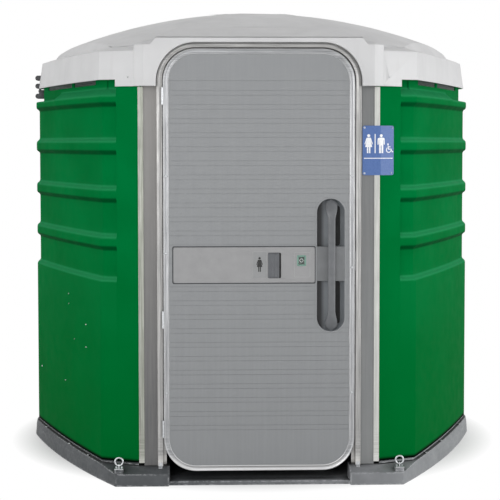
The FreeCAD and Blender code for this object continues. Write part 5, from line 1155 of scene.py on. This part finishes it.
FRAME_SECTION = ((0, 50), (0, 2.2), (0.7, 1.2), (2, 0.9), (7.2, 0.9), (8, 0.5), (9.5, 0.05), (11.8, 0),
                 (14.2, 0.05), (15.6, 0.5), (16.4, 0.9), (22, 0.9), (23.3, 1.2), (24, 2.2), (24, 42), (39, 42),
                 (39, 48), (24, 48), (24, 50), (21, 50), (21, 3.4), (3, 3.4), (3, 50))
TRIM_SECTION = ((0, 39.2), (0, 1.6), (0.5, 0.6), (1.6, 0.05), (3.4, 0), (4.8, 0.3), (5.5, 1.1), (19.6, 1.1),
                (20.2, 0.5), (21.4, 0.05), (23.2, 0), (25, 0.3), (26, 1.2), (26, 2), (2, 2), (2, 38), (26, 38),
                (26, 40), (0.8, 40))
RIM_SECTION = ((-6.5, 0), (-6.3, -0.5), (-5, -1.1), (-3, -1.4), (-1, -1.2), (0.4, -0.4), (0.8, 1), (0.8, 3),
               (0, 3), (0, 0))
RIGHTWARDS = Vector((1.0, 0.0, 0.0))


class OBJECT_OT_cabin_frame(bpy.types.Operator):
    """Door frame and the trim round the door, each a section along its outline"""
    bl_idname = "object.cabin_frame"
    bl_label = "Frame and trim"

    def execute(self, context):
        sizes = context.scene.cabin_door
        hole = ((LEAF_HALF - 4, BOLT_Y - BOLT_HALF_T - 3, BOLT_Z - BOLT_HALF_H - 3),
                (LEAF_HALF + 8.5, BOLT_Y + BOLT_HALF_T + 3, BOLT_Z + BOLT_HALF_H + 3))
        upright = [(-FRAME_HALF, FRAME_BOTTOM, RIGHTWARDS), (-FRAME_HALF, FRAME_JOINT, RIGHTWARDS)]
        head = [(-FRAME_HALF, FRAME_JOINT, RIGHTWARDS)]
        centre = FRAME_HALF - FRAME_R
        head += arc(-centre, FRAME_TOP - FRAME_R, FRAME_R, 180, 90, 18)
        head += arc(centre, FRAME_TOP - FRAME_R, FRAME_R, 90, 0, 18)
        head += [(FRAME_HALF, FRAME_JOINT, -RIGHTWARDS)]
        other = [(-x, z, -way) for x, z, way in upright]
        for side, line in (("left", upright), ("right", other), ("head", head)):
            node = "door_frame_" + side
            piece = swept("frame_section_" + side, line, FRAME_SECTION, DOOR_FRONT, sizes.frame_width,
                          FRAME_DEPTH, False)
            if side == "right":
                punched(piece, *hole)
            finish_piece(piece, "frame", "root", slot_of(node), node)
        outline = round_outline(-LEAF_HALF, LEAF_HALF, LEAF_BOTTOM, LEAF_TOP, LEAF_R)
        trim = swept("door_trim_section", outline, TRIM_SECTION, DOOR_FRONT, sizes.trim_width, TRIM_DEPTH, True)
        punched(trim, *hole)
        finish_piece(trim, "trim", "door", slot_of("door_edge_trim"), "door_edge_trim")
        return {"FINISHED"}


class OBJECT_OT_cabin_pull(bpy.types.Operator):
    """Pull handle, its pocket and the rim round it"""
    bl_idname = "object.cabin_pull"
    bl_label = "Pull handle"

    def execute(self, context):
        slot = slot_of("door_front_panel")
        rim_line = round_outline(PULL_X - PULL_HALF, PULL_X + PULL_HALF, PULL_LOW, PULL_HIGH, PULL_HALF - 1)
        rim = swept("pull_pocket_rim", rim_line, RIM_SECTION, SKIN_Y, 1.0, 1.0, True)
        finish_piece(rim, "door", "door", slot)
        finish_piece(pocket_liner(), "pocket", "door", slot)
        # painted shadow beside the bar
        finish_piece(pocket_shadow_patches(), "hole", "door", slot_of("bolt_cover"))
        finish_piece(pull_grip(), "grip", "door", slot_of("pull_handle"), "pull_handle")
        cover = soften("bolt_cover", "bolt_cap", 0.8, 30.0, 10.0)
        finish_piece(cover, "cap", "door", slot_of("bolt_cover"), "bolt_cover")
        return {"FINISHED"}


def stadium_half(z):
    """Half width of the pull pocket at a height."""
    past = max(PULL_LOW + PULL_HALF - z, z - PULL_HIGH + PULL_HALF, 0.0)
    return math.sqrt(max(0.0, (PULL_HALF - 0.4) ** 2 - past ** 2))


def ease(value):
    """Soft step from 0 to 1."""
    value = min(1.0, max(0.0, value))
    return value * value * (3.0 - 2.0 * value)


def pull_grip():
    """The bar: it widens to round ends that lean back into the pocket."""
    centre = PULL_X + 2.5
    low = PULL_LOW + 4.0
    high = PULL_HIGH - 4.0
    half_h = (high - low) / 2
    levels = [0.3, 1.5, 4, 8, 13, 19, 26, 34, 43, 53, 64, 76, 90, 110, 160, half_h]
    levels = [low + e for e in levels] + [high - e for e in reversed(levels[:-1])]
    shape = bmesh.new()
    rings = []
    for z in levels:
        end = min(z - low, high - z)
        wide = 17.0 + 12.0 * (1.0 - ease((end - 26.0) / 70.0))
        if end < 28.0:
            wide *= math.sqrt(1.0 - (1.0 - end / 28.0) ** 2)
        front = -1099.0 - 44.5 * ease((end + 8.0) / 82.0)
        back = min(-1091.0, front + 16.0 + 30.0 * (1.0 - ease(end / 60.0)))
        middle = (front + back) / 2
        deep = (back - front) / 2
        ring = []
        for i in range(24):
            angle = math.tau * i / 24
            across = math.copysign(abs(math.cos(angle)) ** 0.62, math.cos(angle))
            out = math.copysign(abs(math.sin(angle)) ** 0.7, math.sin(angle))
            ring.append(shape.verts.new(Vector((centre + wide * across, middle + deep * out, z)) * MM))
        rings.append(ring)
    for a, b in zip(rings, rings[1:]):
        for i in range(24):
            j = (i + 1) % 24
            shape.faces.new((a[i], a[j], b[j], b[i]))
    shape.faces.new(rings[0])
    shape.faces.new(rings[-1])
    bmesh.ops.recalc_face_normals(shape, faces=shape.faces)
    mesh = bpy.data.meshes.new("pull_grip")
    shape.to_mesh(mesh)
    shape.free()
    grip = new_piece("pull_grip", mesh)
    smooth(grip, 60.0)
    return grip


def pocket_liner():
    """Lining of the pocket: steep on the left, a level floor and a long slope up to the right rim."""
    across = ((0.0, 1.0, 1.0), (0.0, 1.2, 6.0), (0.0, 3.0, 20.0), (0.0, 5.0, 22.0), (0.35, 0.0, 22.6),
              (0.72, 0.0, 22.6), (1.0, -19.0, 22.0), (1.0, -16.0, 19.5), (1.0, -7.0, 8.0), (1.0, -2.5, 2.0),
              (1.0, -0.8, 0.6))
    low = PULL_LOW + 1.0
    high = PULL_HIGH - 1.0
    levels = [low, low + 2, low + 6, low + 14, low + 26, low + 40, low + PULL_HALF]
    levels += [1013.5 - 5.0, 1013.5 + 5.0]
    levels += [low + high - z for z in reversed(levels[:7])]
    shape = bmesh.new()
    grid = []
    for z in levels:
        half = stadium_half(z)
        row = []
        for share, shift, depth in across:
            fit = min(1.0, half / PULL_HALF)
            x = PULL_X - half + 2 * half * share + shift * fit
            end = min(z - low, high - z)
            floor = min(1.0, math.sqrt(max(0.0, end) / 9.0) if end < 9.0 else 1.0)
            row.append(shape.verts.new((x * MM, (SKIN_Y + 0.8 + depth * floor) * MM, z * MM)))
        grid.append(row)
    for a, b in zip(grid, grid[1:]):
        for i in range(len(a) - 1):
            shape.faces.new((a[i], a[i + 1], b[i + 1], b[i]))
    mesh = bpy.data.meshes.new("pull_pocket_liner")
    shape.to_mesh(mesh)
    shape.free()
    liner = new_piece("pull_pocket_liner", mesh)
    sheet = liner.modifiers.new("sheet", "SOLIDIFY")
    sheet.thickness = 0.6 * MM
    sheet.offset = -1.0
    settle(liner)
    smooth(liner, 40.0)
    return liner


def pocket_shadow_patches():
    """Two black patches beside the bar, above and below the bolt's cover: painted shadow of the bar."""
    lines = []
    for z0, z1 in ((PULL_LOW + 34.0, 938.0), (1102.0, PULL_HIGH - 34.0)):
        lines.append([(x, z) for x, z, way in round_outline(348.0, 376.0, z0, z1, 13.0, 6)])
    at = lambda x, z, lift: Vector((x, PULL_FLOOR - 2.6 - lift, z))
    return slab("pull_pocket_slots", lines, at, -1.0, 0.3)


class OBJECT_OT_cabin_latch(bpy.types.Operator):
    """Latch plate with its tile, thumb slot and indicator"""
    bl_idname = "object.cabin_latch"
    bl_label = "Latch plate"

    def execute(self, context):
        slot = slot_of("latch_plate")
        plate = soften("latch_plate", "latch_cover", 1.2, 30.0, 3.0)
        finish_piece(plate, "latch", "door", slot, "latch_plate")
        face = lambda x, z, lift: Vector((x, DOOR_FRONT - lift, z))
        top = TILE_Z + 36.5
        lady = slab("tile_figure", figure(WOMAN, 1.3, 0.0, 68.5), lambda x, v, lift: face(x, top - v, lift),
                    0.0, 0.3)
        finish_piece(lady, "print_black", "door", slot_of("symbol_tile"))
        corner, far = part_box("latch_plate")
        # painted shadow: a dark band on the door skin round the latch plate, where its gap falls in shade
        sides = (corner[0] / MM - GAP_W, far[0] / MM + GAP_W, corner[2] / MM - GAP_W, far[2] / MM + GAP_W)
        gap = swept("latch_gap", round_outline(*sides, 9.0),
                    ((0, 2.2), (0, 1.7), (GAP_W, 1.7), (GAP_W, 2.2)), DOOR_FRONT, 1.0, 1.0, True)
        finish_piece(gap, "shade", "door", slot_of("door_front_panel"))
        edge = swept("tile_edge", round_outline(TILE_X - 33.0, TILE_X + 33.0, TILE_Z - 61.5, TILE_Z + 61.5, 4.0),
                     ((0, 0.2), (0, -0.5), (0.8, -0.7), (1.6, -0.5), (1.6, 0.2)), DOOR_FRONT, 1.0, 1.0, True)
        finish_piece(edge, "latch_edge", "door", slot)
        panel = swept("indicator_edge", round_outline(161.5, 235.5, 958.0, 1074.0, 6.0),
                      ((0, 0.2), (0, -0.3), (0.8, -0.5), (1.6, -0.3), (1.6, 0.2)), DOOR_FRONT, 1.0, 1.0, True)
        finish_piece(panel, "latch_edge", "door", slot)
        bezel = swept("indicator_bezel", round_outline(WINDOW_X - 21.0, WINDOW_X + 21.0, BOLT_Z - 25.0,
                                                       BOLT_Z + 25.0, 5.0),
                      ((0, 0.2), (0, -0.6), (0.8, -1.0), (6.6, -1.0), (7.4, -0.6), (7.4, 0.2)),
                      DOOR_FRONT, 1.0, 1.0, True)
        finish_piece(bezel, "bezel", "door", slot)
        ring = [(x, z) for x, z in disc(WINDOW_X, BOLT_Z, 9.0, 32)]
        hole = [(x, z) for x, z in disc(WINDOW_X, BOLT_Z, 6.6, 32)]
        flag_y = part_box("occupancy_flag")[0][1] / MM
        halves = [ring[16 * i:16 * i + 17] + list(reversed(hole[16 * i:16 * i + 17])) for i in (0,)]
        halves.append(ring[16:] + ring[:1] + list(reversed(hole[16:] + hole[:1])))
        mark = slab("flag_ring", halves, lambda x, z, lift: Vector((x, flag_y - lift, z)), 0.0, 0.2)
        finish_piece(mark, "print_white", "latch", slot_of("occupancy_flag"))
        finish_piece(thumb_grip(), "latch_thumb", "door", slot)
        # painted shadow: a black strip down the right edge of the thumb slot
        side = THUMB_X + THUMB_W / 2
        ends = (THUMB_Z - THUMB_H / 2 + 2.0, THUMB_Z + THUMB_H / 2 - 2.0)
        thumb_shadow = slab("thumb_dark_side", [[(side - 8.5, ends[0]), (side - 1.0, ends[0]), (side - 1.0, ends[1]),
                                              (side - 8.5, ends[1])]], face, -3.0, -0.9)
        finish_piece(thumb_shadow, "hole", "door", slot)
        return {"FINISHED"}


def thumb_grip():
    """Hollow of the thumb slot: a scooped floor with upright ribs."""
    steps = 32
    shape = bmesh.new()
    rows = []
    z0 = THUMB_Z - THUMB_H / 2 + 2.5
    z1 = THUMB_Z + THUMB_H / 2 - 2.5
    for z in (z0, z0 + 2.0, z0 + 5.0, z1 - 9.0, z1 - 3.0, z1):
        end = min(1.0, min(z - z0, z1 - z) / 3.0)
        row = []
        for i in range(steps + 1):
            t = i / steps
            x = THUMB_X - THUMB_W / 2 + 1.0 + (THUMB_W - 2.0) * t
            scoop = math.sin(math.pi * min(1.0, t * 1.15)) ** 0.6 if t < 0.87 else 0.0
            rib = 0.5 * math.sin(t * math.tau * 4.0)
            depth = (1.2 + (4.6 + rib) * max(0.0, scoop)) if t < 0.9 else 5.6
            row.append(shape.verts.new((x * MM, (DOOR_FRONT + depth * (0.35 + 0.65 * end)) * MM, z * MM)))
        rows.append(row)
    for a, b in zip(rows, rows[1:]):
        for i in range(steps):
            shape.faces.new((a[i], a[i + 1], b[i + 1], b[i]))
    mesh = bpy.data.meshes.new("thumb_hollow")
    shape.to_mesh(mesh)
    shape.free()
    hollow = new_piece("thumb_hollow", mesh)
    sheet = hollow.modifiers.new("sheet", "SOLIDIFY")
    sheet.thickness = 0.5 * MM
    sheet.offset = -1.0
    settle(hollow)
    smooth(hollow, 60.0)
    return hollow


class OBJECT_OT_cabin_sign(bpy.types.Operator):
    """Pictures on the sign, which folds with the wall"""
    bl_idname = "object.cabin_sign"
    bl_label = "Sign"

    def execute(self, context):
        low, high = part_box("sign_plate")
        left = low[0] / MM
        top = high[2] / MM
        front = low[1] / MM
        along = PlanLine().along
        turn = math.atan2(along.y, along.x)
        fold = FACET_X + (-front - WALL_FRONT) * math.tan(turn / 2) - left

        def at(u, v, lift):
            over = max(0.0, u - fold)
            out = Vector((along.y, -along.x)) if u > fold else Vector((0.0, -1.0))
            x = left + min(u, fold) + along.x * over + out.x * lift
            return Vector((x, front + along.y * over + out.y * lift, top - v))

        shapes = figure(WOMAN, 28.5, 39.0, 88.0) + figure(MAN, 87.0, 39.0, 88.0)
        shapes += wheelchair(107.0, 82.0, 44.0)
        shapes += [[(56, 39), (60.5, 39), (60.5, 127), (56, 127)],
                   [(7, 149), (148, 149), (148, 152.5), (7, 152.5)]]
        marks = slab("sign_pictures", shapes, lambda u, v, lift: Vector((u, v, lift)), 0.0, 0.35)
        shape = bmesh.new()
        shape.from_mesh(marks.data)
        bmesh.ops.bisect_plane(shape, geom=shape.verts[:] + shape.edges[:] + shape.faces[:],
                               plane_co=(fold * MM, 0.0, 0.0), plane_no=(1.0, 0.0, 0.0))
        for vert in shape.verts:
            vert.co = at(*(vert.co / MM)) * MM
        bmesh.ops.recalc_face_normals(shape, faces=shape.faces)
        shape.to_mesh(marks.data)
        shape.free()
        finish_piece(marks, "print_white", "root", slot_of("sign_plate"))
        return {"FINISHED"}


class OBJECT_OT_cabin_fixings(bpy.types.Operator):
    """Rivet heads, bolt heads and the nets behind the vent slots"""
    bl_idname = "object.cabin_fixings"
    bl_label = "Fixings and nets"

    def execute(self, context):
        sizes = context.scene.cabin_fittings
        rivet = lathe("rivet_head", ((0, 0.7), (1.2, 0.7), (1.5, 1.9), (2.8, 1.9), (4.2, 1.3), (5.0, 0.3),
                                     (5.0, -1.4), (0, -1.4)), 20)
        dome = lathe("bolt_dome", ((0, 4), (3.4, 3.6), (5.2, 2.4), (6, 0.6), (6, -0.4), (0, -0.4)), 20)
        hexagon = lathe("bolt_hexagon", ((0, 4.6), (4.4, 4.6), (5.77, 4.0), (5.77, 1.4), (9.5, 1.3), (9.6, 0),
                                         (0, 0)), 6)
        for node in ("trim_rivets", "roof_rivets", "sign_rivets", "wall_rivets"):
            finish = "rivet_pale" if node == "sign_rivets" else "steel"
            fixings(node + "_heads", node, rivet, finish, 2.0, sizes.head_size)
        fixings("lift_bracket_bolt_heads", "lift_bracket_bolts", dome, "steel", 4.0)
        fixings("base_bolt_heads", "base_bolts", hexagon, "steel", 5.0)
        for head in (rivet, dome, hexagon):
            bpy.data.objects.remove(head)
        net = vent_net(sizes.net_pitch, sizes.net_wire)
        finish_piece(net, "screen", "root", slot_of("vent_screens"), "vent_screens")
        return {"FINISHED"}


def vent_net(pitch, wire):
    """Wire net behind every vent slot, following the bow of the wall."""
    plan = PlanLine()
    inner = RECESS_DEPTH + 6.0 + 0.8
    z0 = SLOT_Z - 6.0
    rows = round((SLOT_H + 12.0) / pitch) + 1
    shape = bmesh.new()
    for y0, y1 in SLOT_SPANS:
        columns = round((y1 - y0 + 12.0) / pitch) + 1
        for sx in (-1, 1):
            for sy in (-1, 1):
                grid = []
                for i in range(columns):
                    point, inward = plan.side(-(y0 - 6.0 + (y1 - y0 + 12.0) * i / (columns - 1)))
                    place = point + inward * inner
                    grid.append([shape.verts.new((place.x * sx * MM, place.y * sy * MM,
                                                  (z0 + (SLOT_H + 12.0) * k / (rows - 1)) * MM))
                                 for k in range(rows)])
                for a, b in zip(grid, grid[1:]):
                    for k in range(rows):
                        shape.edges.new((a[k], b[k]))
                for line in grid:
                    for p, q in zip(line, line[1:]):
                        shape.edges.new((p, q))
    mesh = bpy.data.meshes.new("vent_nets")
    shape.to_mesh(mesh)
    shape.free()
    piece = new_piece("vent_nets", mesh)
    run_tree(piece, net_tree(), wire_radius=wire * MM / 2, wire_sides=4)
    smooth(piece, 60.0)
    return piece


class OBJECT_OT_cabin_inside(bpy.types.Operator):
    """Rounded seat, lid, tank and inside fittings"""
    bl_idname = "object.cabin_inside"
    bl_label = "Inside fittings"

    def execute(self, context):
        rows = (("toilet_seat", "seat_moulding", "seat", 5.0, 20.0, 8.0),
                ("seat_lid", "lid_moulding", "seat", 4.0, 20.0, 8.0),
                ("waste_tank", "tank_moulding", "tank", 8.0, 25.0, 20.0),
                ("latch_housing", "latch_case", "dark", 2.0, 25.0, 6.0),
                ("paper_bracket", "paper_arms", "stainless", 0.8, 25.0, 6.0),
                ("lift_bracket", "lift_lugs", "dark", 2.5, 30.0, 12.0))
        for node, name, finish, radius, turn, shortest in rows:
            piece = soften(node, name, radius, turn, shortest)
            finish_piece(piece, finish, body_of(node), slot_of(node), node)
        return {"FINISHED"}


class OBJECT_OT_cabin_stage(bpy.types.Operator):
    """Pale floor, soft studio light and the camera"""
    bl_idname = "object.cabin_stage"
    bl_label = "Stage"

    def execute(self, context):
        light = context.scene.cabin_light
        make_floor()
        make_world(light.sky)
        add_lamp("key_lamp", (-2.6, -7.2, 2.4), (0.0, -0.6, 1.1), 4.5, light.key)
        add_lamp("fill_lamp", (5.4, -5.6, 1.8), (0.2, -0.4, 1.0), 4.0, light.key * 0.5)
        add_lamp("side_lamp_left", (-6.5, -3.0, 2.0), (-0.6, -0.3, 1.1), 4.0, light.key * 0.6)
        add_lamp("side_lamp_right", (6.5, -3.0, 2.0), (0.6, -0.3, 1.1), 4.0, light.key * 1.15)
        add_lamp("top_lamp", (0.5, 1.0, 6.5), (0.0, 0.0, 1.0), 5.0, light.key * 0.08)
        make_camera()
        return {"FINISHED"}


def make_floor():
    """A wide pale floor that fades to plain white away from the cabin."""
    shape = bmesh.new()
    bmesh.ops.create_circle(shape, cap_ends=True, radius=40.0, segments=64)
    mesh = bpy.data.meshes.new("pale_floor")
    shape.to_mesh(mesh)
    shape.free()
    floor = new_piece("pale_floor", mesh)
    floor.location.z = -0.0005
    f = Finish("pale_paper_floor", 0.9)
    f.shader.inputs["Base Color"].default_value = rgba("#f2f2f2")
    away = f.node("ShaderNodeVectorMath", {"operation": "LENGTH"}, {0: f.at}).outputs["Value"]
    fade = f.ramp(away, 1.05, 1.3)
    path = f.node("ShaderNodeLightPath")
    seen = f.maths("MAXIMUM", path.outputs["Is Camera Ray"], path.outputs["Is Glossy Ray"])
    seen = f.maths("MAXIMUM", seen, path.outputs["Is Transmission Ray"])
    white = f.node("ShaderNodeEmission", inputs={"Color": (1.0, 1.0, 1.0, 1.0), "Strength": 1.0})
    mixed = f.node("ShaderNodeMixShader", inputs={0: f.maths("MULTIPLY", fade, seen),
                                                  1: f.shader.outputs[0], 2: white.outputs[0]})
    output = [n for n in f.tree.nodes if n.type == "OUTPUT_MATERIAL"][0]
    f.tree.links.new(mixed.outputs[0], output.inputs["Surface"])
    floor.data.materials.append(f.material)


def make_world(strength):
    """Even grey light from all round, white to the eye and in reflections."""
    world = bpy.data.worlds.new("studio")
    bpy.context.scene.world = world
    world.use_nodes = True
    tree = world.node_tree
    tree.nodes.clear()
    path = add_node(tree, "ShaderNodeLightPath")
    even = add_node(tree, "ShaderNodeBackground", inputs={"Color": rgba("#ffffff"), "Strength": strength})
    white = add_node(tree, "ShaderNodeBackground", inputs={"Color": rgba("#ffffff"), "Strength": 1.0})
    seen = add_node(tree, "ShaderNodeMath", {"operation": "MAXIMUM"},
                    {0: path.outputs["Is Camera Ray"], 1: path.outputs["Is Transmission Ray"]})
    seen = add_node(tree, "ShaderNodeMath", {"operation": "MAXIMUM"},
                    {0: seen.outputs[0], 1: path.outputs["Is Glossy Ray"]})
    mixed = add_node(tree, "ShaderNodeMixShader", inputs={0: seen.outputs[0], 1: even.outputs[0],
                                                          2: white.outputs[0]})
    add_node(tree, "ShaderNodeOutputWorld", inputs={"Surface": mixed.outputs[0]})


def add_lamp(name, place, aim, size, power):
    """A large soft square lamp."""
    data = bpy.data.lights.new(name, "AREA")
    data.size = size
    data.energy = power
    lamp = bpy.data.objects.new(name, data)
    lamp.location = place
    lamp.rotation_euler = (Vector(aim) - Vector(place)).to_track_quat("-Z", "Y").to_euler()
    bpy.context.scene.collection.objects.link(lamp)


def make_camera():
    """The camera at the photograph's place, looking as it did."""
    data = bpy.data.cameras.new("photo_camera")
    data.sensor_fit = "HORIZONTAL"
    data.sensor_width = 36.0
    data.lens = CAMERA_LENS
    data.shift_y = CAMERA_SHIFT
    camera = bpy.data.objects.new("photo_camera", data)
    camera.location = CAMERA_AT
    camera.rotation_euler = (math.pi / 2 - CAMERA_PITCH, CAMERA_ROLL, -CAMERA_YAW)
    bpy.context.scene.collection.objects.link(camera)
    bpy.context.scene.camera = camera
    bpy.context.scene.view_settings.view_transform = "Standard"


class VIEW3D_PT_cabin(bpy.types.Panel):
    """The cabin's sizes and its steps"""
    bl_idname = "VIEW3D_PT_cabin"
    bl_label = "Portable toilet cabin"
    bl_space_type = "VIEW_3D"
    bl_region_type = "UI"
    bl_category = "Cabin"

    def draw(self, context):
        for name, kind in GROUPS:
            group = getattr(context.scene, name)
            for key in group.bl_rna.properties.keys():
                if key not in ("rna_type", "name"):
                    self.layout.prop(group, key)
        for step in STEPS:
            self.layout.operator(step.bl_idname)


GROUPS = (("cabin_walls", CabinWalls), ("cabin_door", CabinDoorFinish), ("cabin_fittings", CabinFittings),
          ("cabin_light", CabinLight))
STEPS = (OBJECT_OT_cabin_walls, OBJECT_OT_cabin_shell, OBJECT_OT_cabin_frame, OBJECT_OT_cabin_pull,
         OBJECT_OT_cabin_latch, OBJECT_OT_cabin_sign, OBJECT_OT_cabin_fixings, OBJECT_OT_cabin_inside,
         OBJECT_OT_cabin_stage)


def register():
    for name, group in GROUPS:
        bpy.utils.register_class(group)
        setattr(bpy.types.Scene, name, bpy.props.PointerProperty(type=group))
    for step in STEPS:
        bpy.utils.register_class(step)
    bpy.utils.register_class(VIEW3D_PT_cabin)


def unregister():
    bpy.utils.unregister_class(VIEW3D_PT_cabin)
    for step in reversed(STEPS):
        bpy.utils.unregister_class(step)
    for name, group in reversed(GROUPS):
        delattr(bpy.types.Scene, name)
        bpy.utils.unregister_class(group)


def main():
    """Run every step in order."""
    register()
    make_finishes()
    dress_nodes()
    bpy.ops.object.cabin_walls()
    bpy.ops.object.cabin_shell()
    bpy.ops.object.cabin_frame()
    bpy.ops.object.cabin_pull()
    bpy.ops.object.cabin_latch()
    bpy.ops.object.cabin_sign()
    bpy.ops.object.cabin_fixings()
    bpy.ops.object.cabin_inside()
    bpy.ops.object.cabin_stage()


if __name__ == "__main__":
    main()
